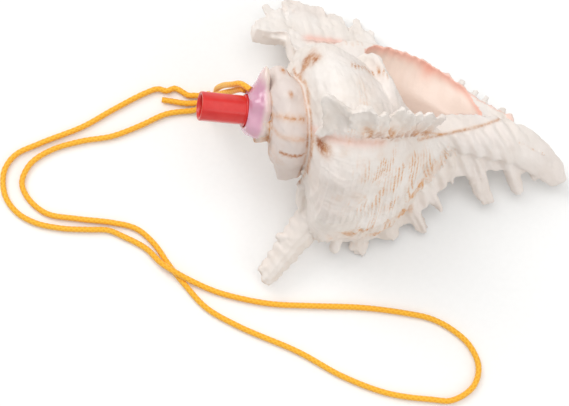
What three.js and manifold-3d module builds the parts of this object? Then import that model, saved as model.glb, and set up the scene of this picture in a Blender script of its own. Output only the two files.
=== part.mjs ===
// A shell horn, in millimetres, +Z up: a branched murex shell lying on its fronds, whose cut spire carries a
// red plastic mouthpiece set in lilac putty, with a braided neck cord that runs from the putty to a knot.
import * as THREE from 'three';
import { mergeVertices } from 'three/addons/utils/BufferGeometryUtils.js';
import { LoftGeometry } from 'three/addons/geometries/LoftGeometry.js';
import Module from 'manifold-3d';

const wasm = await Module();
wasm.setup();

const DEG = Math.PI / 180;

// The coil. Its axis is the shell's own X, from the spire (-) to the canal (+), and 0 is where the cone of
// growth would come to a point. Places on the axis are called "along", distances from it "out".
const SHOULDER_ALONG = 76; // the lip's shoulder
const TURN_GROWTH = 1.75; // how much one whorl is bigger than the one before
const LIP_ANGLE = 130; // the lip's half-plane, in degrees from the shell's up side towards its far side
const STEPS_PER_TURN = 24;
const FIRST_STEP = -62; // the coil starts this many steps before the lip
const CHUNK_STEPS = 9; // a length of coil that can't run into itself
const CUT_ALONG = 24; // the spire is sawn off here
const SAW = { start: -20, radius: 60 }; // what the cut takes away
const CHAMBER_AHEAD = 4.5; // the room starts this many steps before the coil
const PAST_LIP = 0.5; // and runs this many steps past the lip, to open it
const GAP = 0.3; // between pieces that touch
const SMALLEST_FACE = 0.1; // slivers thinner than this, left where solids meet, are smoothed away
const WELD = 0.006; // corners closer than this are one corner

// The growing edge at the lip, as [along from the shoulder, out], from the suture round to the canal.
const WHORL_OUTLINE = [
  [-8, 1.2], [-8, 32], [-5, 44], [-1, 57], [5, 65], [14, 69], [28, 68.5], [44, 62.5],
  [58, 54], [70, 44], [80, 32], [90, 21], [102, 15], [114, 13], [114, 1.2],
];

// The room inside the growing edge, between the columella and the outer wall.
const CHAMBER_OUTLINE = [
  [18, 38], [20, 50], [24, 59], [30, 63.5], [40, 60.5], [48, 56.5], [58, 50], [68, 41],
  [77, 31], [85, 21], [92, 13], [92, 8], [62, 9], [44, 11], [34, 16], [26, 24], [20, 31],
];

// The canal, as [along, far, up, half width, half height].
const CANAL_STATIONS = [
  [128, 0, 0, 6, 6], [142, 0, 0, 10.5, 10], [157, -0.9, -0.5, 13, 11], [172, -1.8, -0.9, 13, 9.5],
  [186, -3.6, -1.8, 12.5, 8.5], [198, -7.1, -3.6, 12, 7.5], [210, -13.4, -6.8, 10.5, 6.5],
  [219, -19.6, -10, 8.5, 5.5], [225, -25, -12.7, 5, 4.5],
];
const CANAL_BEND = 11; // degrees that each station past the fourth turns further
const COLUMELLA = { start: 20, end: 160, startRadius: 2, endRadius: 6 };
const CANAL_GROOVE = { radius: 4.2, towards: 62, offset: 7 };

// A varix is the thick ridge left by an old lip. Its place is in turns before the lip, its rise is a share
// of the whorl's radius, and its span is in the units of the growing edge.
const VARICES = [
  { name: 'lip', turn: -0.022, rise: 0.1, from: 2, to: 100, halfWidth: 5 },
  { name: 'near', turn: -0.314, rise: 0.33, from: 4, to: 104, halfWidth: 6 },
  { name: 'top', turn: -0.614, rise: 0.12, from: 4, to: 106, halfWidth: 6 },
  { name: 'hidden', turn: -0.93, rise: 0.1, from: 4, to: 50, halfWidth: 6 },
  { name: 'worn fin', turn: -1.31, rise: 0.32, from: 12, to: 48, halfWidth: 7 },
  { name: 'worn bump', turn: -1.7, rise: 0.1, from: 4, to: 40, halfWidth: 7 },
  { name: 'worn ridge', turn: -1.87, rise: 0.16, from: 3, to: 36, halfWidth: 8 },
];

// A varix's section: its foot is under the whorl's surface, its crest is narrower than its foot, and it sinks
// away at both ends.
const RIDGE = { stations: 8, footShare: 0.86, crestShare: 0.4, endFade: 0.12, fadeSpan: 0.8 };

// Fronds on the varices. foot and tip: [along, out] in the half-plane of the varix; width: at the foot and at
// the tip; curl: degrees that the frond bends towards the spire; back: degrees away from the direction of
// growth; twigs: [share of the length, side (1 is the spire side), length, degrees from the frond].
const FRONDS = {
  lip: [
    { foot: [56, 76], tip: [30, 78], width: [14, 8], thick: 8, curl: 10, back: 0, twigs: [] },
    { foot: [52, 82], tip: [40.5, 107], width: [12, 5], thick: 6, curl: 0, back: 0, twigs: [] },
    { foot: [63, 72], tip: [60.5, 116], width: [21, 10], thick: 7, curl: 0, back: 0,
      twigs: [[0.75, 1, 6, 40]] },
    { foot: [75, 72], tip: [77, 111], width: [18, 9], thick: 7, curl: 0, back: 0, twigs: [] },
    { foot: [87, 70], tip: [89, 105.5], width: [16, 8], thick: 7, curl: 0, back: 0, twigs: [] },
    { foot: [98, 66], tip: [101.5, 103.5], width: [13, 5], thick: 7, curl: 0, back: 0, twigs: [] },
    { foot: [106, 62], tip: [109, 92], width: [12, 5], thick: 7, curl: 0, back: 0, twigs: [] },
    { foot: [137, 42], tip: [145, 65], width: [11, 3], thick: 6, curl: 0, back: 4, twigs: [] },
    { foot: [151, 30], tip: [165, 54], width: [10, 3], thick: 6, curl: 0, back: 4, twigs: [] },
    { foot: [159, 24], tip: [172, 44], width: [9, 3], thick: 6, curl: 0, back: 4, twigs: [] },
    { foot: [166, 17], tip: [179, 40], width: [9, 3], thick: 6, curl: 0, back: 4, twigs: [] },
    { foot: [176, 10], tip: [188, 30], width: [9, 3], thick: 6, curl: 0, back: 4, twigs: [] },
    { foot: [86, 62], tip: [80, 92], width: [16, 9], thick: 9, curl: 10, back: 62, twigs: [] },
    { foot: [106, 58], tip: [110, 80], width: [14, 8], thick: 9, curl: 5, back: 62, twigs: [] },
    { foot: [124, 50], tip: [132, 72], width: [13, 7], thick: 9, curl: 5, back: 58, twigs: [] },
  ],
  near: [
    { foot: [80, 50], tip: [47, 110], width: [26, 15], thick: 9, curl: 12, back: 5,
      twigs: [[0.5, 1, 7, 62], [0.82, 1, 6, 30], [0.84, -1, 5, 30]] },
    { foot: [80, 50], tip: [76, 79], width: [16, 9], thick: 8, curl: 0, back: 2, twigs: [] },
    { foot: [87, 50], tip: [90, 89], width: [15, 5], thick: 8, curl: 4, back: 4, twigs: [] },
    { foot: [99, 48], tip: [108.8, 91.1], width: [19, 9], thick: 9, curl: -6, back: 0,
      twigs: [[0.72, 1, 6, 40]] },
    { foot: [111, 42], tip: [124, 76], width: [19, 12], thick: 9, curl: -6, back: 4, twigs: [] },
    { foot: [120, 36], tip: [145, 70], width: [16, 9], thick: 8, curl: -6, back: 2, twigs: [] },
    { foot: [128, 28], tip: [152, 55], width: [14, 6], thick: 8, curl: -6, back: 0, twigs: [] },
    { foot: [141, 12], tip: [156, 36.5], width: [10, 3], thick: 7, curl: 0, back: 0, twigs: [] },
  ],
  top: [
    { foot: [63, 47], tip: [43, 79], width: [28, 5], thick: 9, curl: 6, back: 40, twigs: [] },
    { foot: [73, 49], tip: [69, 75], width: [20, 14], thick: 9, curl: 0, back: 36, twigs: [] },
    { foot: [82, 49], tip: [82, 70], width: [13, 8], thick: 8, curl: 0, back: 38, twigs: [] },
    { foot: [88.5, 45], tip: [93, 69], width: [13, 8], thick: 8, curl: 0, back: 44, twigs: [] },
    { foot: [95, 40], tip: [99.5, 64], width: [14, 9], thick: 8, curl: 0, back: 36, twigs: [] },
    { foot: [102.5, 33], tip: [109, 53], width: [12, 6], thick: 7, curl: 0, back: 42, twigs: [] },
    { foot: [110, 25], tip: [118, 48], width: [14, 8], thick: 7, curl: 0, back: 36, twigs: [] },
    { foot: [121, 15], tip: [130, 32], width: [12, 5], thick: 6, curl: 0, back: 42, twigs: [] },
  ],
};

// Fronds along the canal, in the half-plane of the near varix.
const CANAL_FRONDS = [
  { foot: [160, 8], tip: [182, 47.5], width: [16, 8], thick: 8, curl: -4, back: 0,
    twigs: [[0.45, 1, 4, 40]] },
  { foot: [180, 4], tip: [201, 38], width: [15, 7], thick: 7, curl: -4, back: 0, twigs: [] },
  { foot: [197, 8], tip: [208, 28.5], width: [10, 3], thick: 6, curl: 0, back: 0, twigs: [] },
  { foot: [150, 6], tip: [166, 31], width: [12, 5], thick: 6, curl: 0, back: 0, twigs: [] },
];

// How a frond widens or narrows along its length, and how thin it gets; a twig's size from its frond's.
const FROND = { widthPower: 1.2, thinning: 0.62, thinnestHalf: 1.6, rings: 4, sides: 6 };
const TWIG = { reach: 0.8, widthShare: 0.5, widest: 9, tipWidth: 4, thickShare: 0.7 };

// Webs that join the feet of the fronds, in the half-planes of the lip and of the near varix, as
// [place on the axis, inner edge, outer edge] from the axis.
const LIP_WEB = [
  [30, 74, 81], [36, 73, 92], [43, 73, 98], [50, 74, 104], [53, 58, 108], [61, 50, 112], [76, 50, 109],
  [88, 50, 103], [97, 50, 95], [107, 50, 90], [116, 45, 76],
];
const NEAR_WEB = [
  [58, 46, 56], [64, 40, 66], [73, 40, 74], [84, 40, 79], [100, 38, 80], [114, 30, 78], [122, 24, 75],
  [130, 18, 68], [140, 10, 56], [147, 4, 42], [155, 0, 31], [164, 0, 28.5], [174, 0, 25], [186, 0, 22.5],
  [198, 4, 22.5], [208, 8, 24], [214, 14, 26],
];
const WEB = { rootHalf: 4.5, edgeHalf: 1.8 };

// Mouthpiece, putty collar and the cord's knot.
const TUBE = { start: -12, end: 31, outer: 8.8, bore: 6.6, flange: 9.6, flangeStart: 14.5, flangeEnd: 17 };
const POCKET = { radius: 9.6, depth: 7.8, throat: 6, throatEnd: 36 };
const COLLAR_PROFILE = [
  [15.5, 10.4], [16, 12.6], [17.5, 14], [19.5, 14.6], [21.5, 15.8], [CUT_ALONG - GAP, 18.2],
];
const COLLAR_PEAK = {
  along: 19, foot: 9, tip: 31, halfWidth: 4.6, angle: 62, lean: 6, narrowing: 0.62, flatness: 0.8,
};
const PEAK_SHARES = [0, 0.35, 0.7, 1];

// How the shell lies: the spire raised, turned a little on the table, and leaning over onto the near fronds.
const LIE = { tilt: 15, yaw: -5, lean: 12.3, right: -93.75, far: 2.6, lift: 86.9 };

// Where the middle of the horn's box is brought from, before the part's frame is centred on it.
const CENTRE = { right: -6.913, far: -4.159 };

// The neck cord, in the frame before centring. It comes out of the putty in two legs that drop to the knot on
// the table, and its long loop lies on the table between the knot's two sides. The near run passes over the
// far one where they cross.
const CORD = { radius: 1.9, sides: 8, legSteps: 8, loopSteps: 58 };
const LEG_RIGHT = [
  [-79, 16, 87.6], [-81.7, 18, 85], [-86.6, 19.4, 78], [-92, 23.5, 62], [-97, 27.5, 40],
  [-98, 29, 25], [-99, 29.8, 12.5],
];
const LEG_LEFT = [
  [-80.5, 15.4, 81.5], [-83.2, 16.8, 76], [-86.2, 18, 69], [-95, 20.8, 52], [-101.5, 24, 32],
  [-104.5, 25.6, 20], [-104.6, 27, 12],
];
const LOOP = [
  [-112, 33.6, 3], [-117, 34, 2], [-121, 36.5, 2], [-125.5, 38.6, 2], [-130.5, 36.8, 2],
  [-136, 38.2, 2], [-146, 34.5, 2], [-166, 23.5, 2], [-183, 13.5, 2], [-210, 2.5, 2],
  [-226, -5.5, 2], [-232.5, -16, 2], [-231.5, -31, 2], [-224, -42, 2], [-212, -49, 2],
  [-195, -52.6, 2], [-178, -53.4, 2], [-166, -53.8, 2], [-157, -57.5, 2.2], [-142, -65.5, 2.3],
  [-132.5, -75, 4.6], [-124.5, -80.5, 6.2], [-115, -85.5, 4.2], [-99, -92.5, 2.2], [-83, -97, 2],
  [-63, -100.6, 2], [-37, -101.8, 2], [-6, -103, 2], [20, -106.4, 2], [36, -110, 2],
  [49, -117, 2], [59.5, -127, 2], [64.5, -140, 2], [61, -152, 2], [48, -160.5, 2],
  [35, -160, 2], [9, -156.4, 2], [-19, -146, 2], [-47, -130.5, 2], [-83, -115, 2],
  [-104, -103, 2], [-117, -89, 2], [-127.5, -76, 2], [-137, -62.5, 2], [-148, -53, 2],
  [-163, -49, 2], [-186, -46.4, 2], [-205, -43, 2], [-217, -33, 2], [-221, -23, 2],
  [-216, -11, 2], [-203, -2, 2], [-184, 3.8, 2], [-165, 7, 2], [-148, 13.5, 2],
  [-131, 21.5, 2], [-121, 23.2, 2], [-112, 24, 3],
];
const KNOT = { at: [-103.2, 29.4, 6.2], halfSize: [8.3, 6.4, 5.6] };
const TAIL = [[-104, 29, 4], [-111, 28.6, 3], [-119, 28.7, 2], [-127, 30, 2], [-134, 31, 2]];

const SHELL_COLOR = 0xe8e0da;
const RED_PLASTIC = 0xd9302a;
const LILAC_PUTTY = 0xd8a3bd;
const CORD_YELLOW = 0xf4b02a;

function solidOf(geometry, weldDistance = 1e-4) {
  const bare = new THREE.BufferGeometry();
  bare.setAttribute('position', geometry.getAttribute('position'));
  bare.setIndex(geometry.getIndex());
  const merged = mergeVertices(bare, weldDistance);
  const mesh = new wasm.Mesh({
    numProp: 3,
    vertProperties: new Float32Array(merged.getAttribute('position').array),
    triVerts: new Uint32Array(merged.getIndex().array),
  });
  return new wasm.Manifold(mesh);
}

function geometryOf(solid) {
  const mesh = solid.getMesh();
  const geometry = new THREE.BufferGeometry();
  geometry.setAttribute('position', new THREE.BufferAttribute(mesh.vertProperties, 3));
  geometry.setIndex(new THREE.BufferAttribute(mesh.triVerts, 1));
  geometry.computeVertexNormals();
  return geometry;
}

// Which way a ring of points faces, by its area.
function facing(ring) {
  const normal = new THREE.Vector3();
  ring.forEach((point, i) => {
    normal.add(new THREE.Vector3().crossVectors(point, ring[(i + 1) % ring.length]));
  });
  return normal;
}

// A closed solid through rings of points, which are turned round if they face back along the loft.
function loft(sections) {
  const onward = sections[1][0].clone().sub(sections[0][0]);
  const rings = facing(sections[0]).dot(onward) > 0 ? sections : sections.map((ring) => [...ring].reverse());
  return solidOf(new LoftGeometry(rings, { capStart: true, capEnd: true }));
}

// The biggest body of a solid, without slivers or corners that nearly meet.
function cleaned(solid, weldDistance) {
  const welded = solidOf(geometryOf(solid.simplify(SMALLEST_FACE)), weldDistance);
  return welded.decompose().reduce((best, next) => (next.volume() > best.volume() ? next : best));
}

function joined(solids) {
  return solids.reduce((whole, solid) => whole.add(solid));
}

// A place in the shell's own frame, from its place along the axis, its distance out and its angle.
function place(along, out, angle) {
  return new THREE.Vector3(along, out * Math.sin(angle * DEG), out * Math.cos(angle * DEG));
}

function growth(turn) {
  return TURN_GROWTH ** turn;
}

function angleAt(turn) {
  return LIP_ANGLE - 360 * turn;
}

function edgeAt(outline, turn) {
  const scale = growth(turn);
  return outline.map(([along, out]) => place(scale * (SHOULDER_ALONG + along), scale * out, angleAt(turn)));
}

// A length of the coil, closed at both ends. Its chunks share one step with the next, so that they join.
function coil(outline, firstStep, lastStep) {
  const chunks = [];
  for (let start = firstStep; start < lastStep; start += CHUNK_STEPS) {
    const end = Math.min(start + CHUNK_STEPS + 1, lastStep);
    const sections = [];
    for (let step = start; step <= end; step += 1) {
      sections.push(edgeAt(outline, step / STEPS_PER_TURN));
    }
    chunks.push(loft(sections));
  }
  return joined(chunks);
}

// How far out the whorl's surface is at a place on the growing edge, for a lip-sized whorl.
function outlineRadius(at) {
  const slope = WHORL_OUTLINE.slice(4, -1);
  const next = slope.findIndex(([along]) => along >= at);
  if (next <= 0) {
    return slope[0][1];
  }
  const [a, b] = [slope[next - 1], slope[next]];
  return a[1] + ((b[1] - a[1]) * (at - a[0])) / (b[0] - a[0]);
}

function varix({ turn, rise, from, to, halfWidth }) {
  const scale = growth(turn);
  const angle = angleAt(turn);
  const sections = [];
  for (let i = 0; i <= RIDGE.stations; i += 1) {
    const share = i / RIDGE.stations;
    const at = from + (to - from) * share;
    const out = scale * outlineRadius(at);
    const along = scale * (SHOULDER_ALONG + at);
    const fade = Math.sin(Math.PI * (RIDGE.endFade + RIDGE.fadeSpan * share)) ** 0.5;
    const crest = out * (1 + rise * fade);
    const foot = (halfWidth / out) / DEG;
    const tip = foot * RIDGE.crestShare;
    sections.push([
      place(along, out * RIDGE.footShare, angle + foot),
      place(along, out * RIDGE.footShare, angle - foot),
      place(along, crest, angle - tip),
      place(along, crest, angle + tip),
    ]);
  }
  return loft(sections);
}

// One blade: a flat bar that bends in the plane of its varix. Its direction starts at lean[0] and ends at
// lean[1]; across is the way the blade is wide.
function blade(foot, angle, { length, width, thick, lean, back }) {
  const outward = place(0, 1, angle);
  const tangent = place(0, 1, angle + 90);
  const rising = outward.clone().multiplyScalar(Math.cos(back * DEG));
  rising.addScaledVector(tangent, Math.sin(back * DEG));
  const side = new THREE.Vector3(-1, 0, 0);
  const depth = new THREE.Vector3().crossVectors(rising, side).normalize();
  const sections = [];
  const spine = [];
  const at = foot.clone();
  for (let i = 0; i <= FROND.rings; i += 1) {
    const share = i / FROND.rings;
    const bend = (lean[0] + (lean[1] - lean[0]) * share) * DEG;
    const heading = rising.clone().multiplyScalar(Math.cos(bend)).addScaledVector(side, Math.sin(bend));
    const across = rising.clone().multiplyScalar(-Math.sin(bend)).addScaledVector(side, Math.cos(bend));
    if (i > 0) {
      at.addScaledVector(heading, length / FROND.rings);
    }
    const halfWide = (width[0] + (width[1] - width[0]) * share ** FROND.widthPower) / 2;
    const halfDeep = Math.max(FROND.thinnestHalf, (thick / 2) * (1 - FROND.thinning * share));
    spine.push(at.clone());
    const ring = [];
    for (let j = 0; j < FROND.sides; j += 1) {
      const turn = (2 * Math.PI * j) / FROND.sides;
      ring.push(at.clone()
        .addScaledVector(across, halfWide * Math.cos(turn))
        .addScaledVector(depth, halfDeep * Math.sin(turn)));
    }
    sections.push(ring);
  }
  return { solid: loft(sections), spine };
}

function frond(angle, { foot, tip, width, thick, curl, back, twigs }) {
  const [along, out] = [tip[0] - foot[0], tip[1] - foot[1]];
  const mean = Math.atan2(-along, out) / DEG;
  const lean = [mean - curl / 2, mean + curl / 2];
  const length = Math.hypot(along, out);
  const main = blade(place(...foot, angle), angle, { length, width, thick, lean, back });
  const solids = [main.solid];
  for (const [share, side, twigLength, away] of twigs) {
    const whole = share * FROND.rings;
    const low = Math.floor(whole);
    const from = main.spine[low].clone().lerp(main.spine[low + 1], whole - low);
    const twigLean = lean[0] + curl * share + side * away;
    const reach = (width[0] + (width[1] - width[0]) * share) / 2;
    solids.push(blade(from, angle, {
      length: twigLength + reach * TWIG.reach,
      width: [Math.min(TWIG.widest, width[0] * TWIG.widthShare), TWIG.tipWidth],
      thick: thick * TWIG.thickShare,
      lean: [twigLean, twigLean],
      back,
    }).solid);
  }
  return joined(solids);
}

// A thin plate in a half-plane, thicker at its root than at its edge.
function web(stations, angle) {
  const sideways = place(0, 1, angle + 90);
  return loft(stations.map(([along, inner, outer]) => [
    place(along, inner, angle).addScaledVector(sideways, WEB.rootHalf),
    place(along, inner, angle).addScaledVector(sideways, -WEB.rootHalf),
    place(along, outer, angle).addScaledVector(sideways, -WEB.edgeHalf),
    place(along, outer, angle).addScaledVector(sideways, WEB.edgeHalf),
  ]));
}

function varixAngle(name) {
  return angleAt(VARICES.find((shape) => shape.name === name).turn);
}

function canal() {
  const sections = CANAL_STATIONS.map(([along, far, up, halfWidth, halfHeight], i) => {
    const lean = Math.max(0, i - 3) * CANAL_BEND * DEG;
    const ring = [];
    for (let j = 0; j < 12; j += 1) {
      const turn = (j * Math.PI) / 6;
      const wide = halfWidth * Math.cos(turn);
      const high = halfHeight * Math.sin(turn);
      ring.push(new THREE.Vector3(
        along + wide * Math.sin(lean),
        far + wide * Math.cos(lean),
        up + high,
      ));
    }
    return ring;
  });
  return loft(sections);
}

function canalGroove() {
  const aside = place(0, CANAL_GROOVE.offset, CANAL_GROOVE.towards);
  const sections = CANAL_STATIONS.map(([along, far, up]) => {
    const centre = new THREE.Vector3(along, far, up).add(aside);
    const ring = [];
    for (let j = 0; j < 8; j += 1) {
      const turn = (j * Math.PI) / 4;
      ring.push(centre.clone().add(new THREE.Vector3(
        0,
        CANAL_GROOVE.radius * Math.cos(turn),
        CANAL_GROOVE.radius * Math.sin(turn),
      )));
    }
    return ring;
  });
  return loft(sections);
}

// A solid of revolution about the shell's axis, from [along, out] points.
function turned(profile, segments = 24) {
  const points = profile.map(([along, out]) => new THREE.Vector2(out, along));
  const geometry = new THREE.LatheGeometry(points, segments);
  geometry.rotateZ(-90 * DEG);
  return solidOf(geometry);
}

function rod(start, end, startRadius, endRadius = startRadius) {
  return turned([[start, 0], [start, startRadius], [end, endRadius], [end, 0]]);
}

function shellSolid() {
  const { start, end, startRadius, endRadius } = COLUMELLA;
  const parts = [coil(WHORL_OUTLINE, FIRST_STEP, 0), rod(start, end, startRadius, endRadius), canal()];
  parts.push(web(LIP_WEB, varixAngle('lip')), web(NEAR_WEB, varixAngle('near')));
  parts.push(...CANAL_FRONDS.map((shape) => frond(varixAngle('near'), shape)));
  for (const shape of VARICES) {
    parts.push(varix(shape));
  }
  for (const [name, shapes] of Object.entries(FRONDS)) {
    parts.push(...shapes.map((shape) => frond(varixAngle(name), shape)));
  }
  const chamber = coil(CHAMBER_OUTLINE, FIRST_STEP - CHAMBER_AHEAD, PAST_LIP);
  const sawn = rod(SAW.start, CUT_ALONG, SAW.radius);
  const pocket = rod(CUT_ALONG - 1, CUT_ALONG + POCKET.depth, POCKET.radius);
  const throat = rod(CUT_ALONG, POCKET.throatEnd, POCKET.throat);
  const whole = joined(parts)
    .subtract(chamber)
    .subtract(canalGroove())
    .subtract(sawn)
    .subtract(pocket)
    .subtract(throat);
  return cleaned(cleaned(whole, WELD), 1.6 * WELD);
}

function mouthpieceSolid() {
  const { start, end, outer, bore, flange, flangeStart, flangeEnd } = TUBE;
  return turned([
    [start, bore], [start, outer], [flangeStart, outer], [flangeStart, flange],
    [flangeEnd, flange], [flangeEnd, outer], [end, outer], [end, bore], [start, bore],
  ], 32);
}

function collarPeak() {
  const { along, foot, tip, halfWidth, angle, lean, narrowing, flatness } = COLLAR_PEAK;
  const sections = PEAK_SHARES.map((share) => {
    const out = foot + (tip - foot) * share;
    const centre = place(along + lean * share ** 2, out, angle);
    const half = halfWidth * (1 - narrowing * share);
    const sideways = place(0, 1, angle + 90);
    return [0, 1, 2, 3, 4, 5].map((j) => centre.clone()
      .addScaledVector(sideways, half * Math.cos((j * Math.PI) / 3))
      .add(new THREE.Vector3(half * flatness * Math.sin((j * Math.PI) / 3), 0, 0)));
  });
  return loft(sections);
}

function collarSolid() {
  const first = COLLAR_PROFILE[0][0];
  const last = COLLAR_PROFILE.at(-1)[0];
  const ring = turned([[first, 0], ...COLLAR_PROFILE, [last, 0]], 28);
  const behindFace = rod(last, last + 40, 60);
  return ring.add(collarPeak()).subtract(behindFace)
    .subtract(rod(first - 5, last + 5, TUBE.outer + GAP))
    .subtract(rod(first - 5, TUBE.flangeEnd + GAP, TUBE.flange + GAP));
}

function vectors(points) {
  return points.map((point) => new THREE.Vector3(...point));
}

function cordAlong(points, steps, radius = CORD.radius) {
  const section = new THREE.Shape();
  for (let i = 0; i < CORD.sides; i += 1) {
    const turn = (2 * Math.PI * i) / CORD.sides;
    section[i === 0 ? 'moveTo' : 'lineTo'](radius * Math.cos(turn), radius * Math.sin(turn));
  }
  const path = new THREE.CatmullRomCurve3(vectors(points));
  return solidOf(new THREE.ExtrudeGeometry(section, { steps, bevelEnabled: false, extrudePath: path }));
}

function knotSolid() {
  const ball = new THREE.SphereGeometry(1, 14, 9);
  ball.scale(...KNOT.halfSize);
  ball.translate(...KNOT.at);
  return solidOf(ball).add(cordAlong(TAIL, 6));
}

function piece(name, solid, color, roughness) {
  const material = new THREE.MeshStandardMaterial({ color, roughness, metalness: 0 });
  const mesh = new THREE.Mesh(geometryOf(solid), material);
  mesh.name = name;
  return mesh;
}

function build() {
  const horn = new THREE.Group();
  horn.add(piece('shell', shellSolid(), SHELL_COLOR, 0.55));
  horn.add(piece('mouthpiece', mouthpieceSolid(), RED_PLASTIC, 0.3));
  horn.add(piece('collar', collarSolid(), LILAC_PUTTY, 0.25));

  horn.rotation.order = 'ZYX';
  horn.rotation.set(0, LIE.tilt * DEG, LIE.yaw * DEG);

  const leaning = new THREE.Group();
  leaning.rotation.x = LIE.lean * DEG;
  leaning.position.set(LIE.right, LIE.far, LIE.lift);
  leaning.add(horn);
  const object = new THREE.Group();
  object.position.set(CENTRE.right, CENTRE.far, 0);
  object.add(leaning);
  object.add(piece('cord_leg_right', cordAlong(LEG_RIGHT, CORD.legSteps), CORD_YELLOW, 0.8));
  object.add(piece('cord_leg_left', cordAlong(LEG_LEFT, CORD.legSteps), CORD_YELLOW, 0.8));
  object.add(piece('cord_loop', cordAlong(LOOP, CORD.loopSteps), CORD_YELLOW, 0.8));
  object.add(piece('knot', knotSolid(), CORD_YELLOW, 0.8));
  return object;
}

export default build();
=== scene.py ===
# A shell horn: a branched murex shell lying on its fronds, with a red plastic mouthpiece set in lilac putty
# and a braided yellow neck cord. Sizes are in millimetres until a piece is finished, then in metres.
import math
import bmesh
import bpy
import numpy as np
from mathutils import Matrix, Vector, kdtree


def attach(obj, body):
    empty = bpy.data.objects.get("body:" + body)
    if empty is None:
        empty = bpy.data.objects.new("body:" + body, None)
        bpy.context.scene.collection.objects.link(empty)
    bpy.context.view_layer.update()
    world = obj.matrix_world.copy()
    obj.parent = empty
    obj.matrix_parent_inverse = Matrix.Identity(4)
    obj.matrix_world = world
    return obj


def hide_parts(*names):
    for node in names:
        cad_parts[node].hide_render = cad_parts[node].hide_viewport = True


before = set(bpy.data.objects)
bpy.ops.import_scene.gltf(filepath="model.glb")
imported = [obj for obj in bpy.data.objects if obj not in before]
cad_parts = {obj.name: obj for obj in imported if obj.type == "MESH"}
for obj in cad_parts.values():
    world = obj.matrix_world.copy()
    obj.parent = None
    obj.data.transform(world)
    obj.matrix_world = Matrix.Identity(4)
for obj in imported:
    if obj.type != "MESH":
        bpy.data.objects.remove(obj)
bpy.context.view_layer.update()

MM = 0.001
COLLECTION = bpy.context.scene.collection

# Where the horn's box is moved to bring its middle to the frame's own middle.
CENTRE = Vector((-6.913, -4.159, 0))

# How the shell lies. Its own frame has X along the coil's axis, from the spire to the canal, and starts at
# SHELL_AT. In degrees, its top leans to the near side, its canal swings to the near side and tips down.
SHELL_AT = Vector((-93.75, 2.6, 86.9))
LEAN, SWING, TIP_DOWN = 12.3, -5, 15
LIE = (
    Matrix.Translation(CENTRE + SHELL_AT)
    @ Matrix.Rotation(math.radians(LEAN), 4, "X")
    @ Matrix.Rotation(math.radians(SWING), 4, "Z")
    @ Matrix.Rotation(math.radians(TIP_DOWN), 4, "Y")
)

# The coil. A place on the growing edge is (along, out) on the last whorl at its lip. Angles are in degrees,
# and turns count back from the lip, so that every older whorl has a negative number.
SHOULDER_ALONG = 76
TURN_GROWTH = 1.75
LIP_ANGLE = 130
FIRST_TURN = -2.58
CUT_ALONG = 24
GROWING_EDGE = [
    (-8, 1.2), (-8, 32), (-5, 44), (-1, 57), (5, 65), (14, 69), (28, 68.5), (44, 62.5),
    (58, 54), (70, 44), (80, 32), (90, 21), (102, 15), (114, 13), (114, 1.2),
]
CHAMBER_EDGE = [
    (18, 38), (20, 50), (24, 59), (30, 63.5), (40, 60.5), (48, 56.5), (58, 50), (68, 41),
    (77, 31), (85, 21), (92, 13), (92, 8), (62, 9), (44, 11), (34, 16), (26, 24), (20, 31),
]
CHAMBER_DEPTH = -0.7

# Stations of the canal: middle line, half width and half height. It leans over by CANAL_BEND degrees with
# each station after number CANAL_STRAIGHT.
CANAL = [
    (128, 0, 0, 6, 6), (142, 0, 0, 10.5, 10), (157, -0.9, -0.5, 13, 11), (172, -1.8, -0.9, 13, 9.5),
    (186, -3.6, -1.8, 12.5, 8.5), (198, -7.1, -3.6, 12, 7.5), (210, -13.4, -6.8, 10.5, 6.5),
    (219, -19.6, -10, 8.5, 5.5), (225, -25, -12.7, 5, 4.5),
]
CANAL_BEND, CANAL_STRAIGHT = 11, 3

NEAR_TURN, TOP_TURN, LIP_TURN = -0.314, -0.614, -0.022

# Old lips left as ridges: place in turns, rise as a share of the whorl's radius, the span on the growing
# edge, how far the ridge slopes down behind it and in front of it in mm. The fourth is the broad callus on
# the wall behind the mouth, and the last four are worn stubs on the spire.
VARICES = [
    (LIP_TURN, 0.08, 2, 100, 22, 4),
    (NEAR_TURN, 0.36, 4, 104, 27, 6),
    (TOP_TURN, 0.1, 4, 106, 20, 4),
    (-0.84, 0.42, 62, 106, 40, 26),
    (-0.93, 0.07, 4, 50, 12, 4),
    (-1.31, 0.33, 12, 54, 6, 6),
    (-1.70, 0.08, 4, 30, 4, 4),
    (-1.87, 0.16, 3, 36, 7, 7),
]
# How much further out the lip spreads toward the canal: place on the growing edge and mm.
LIP_SPREAD = [(20, 0), (40, 3), (58, 7), (75, 11), (86, 13), (98, 12), (110, 6)]

# The same for the near ridge, where it runs out to the canal's fronds.
NEAR_SPREAD = [(30, 0), (46, 5), (58, 11), (70, 14), (82, 13), (94, 9), (108, 3)]

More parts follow.
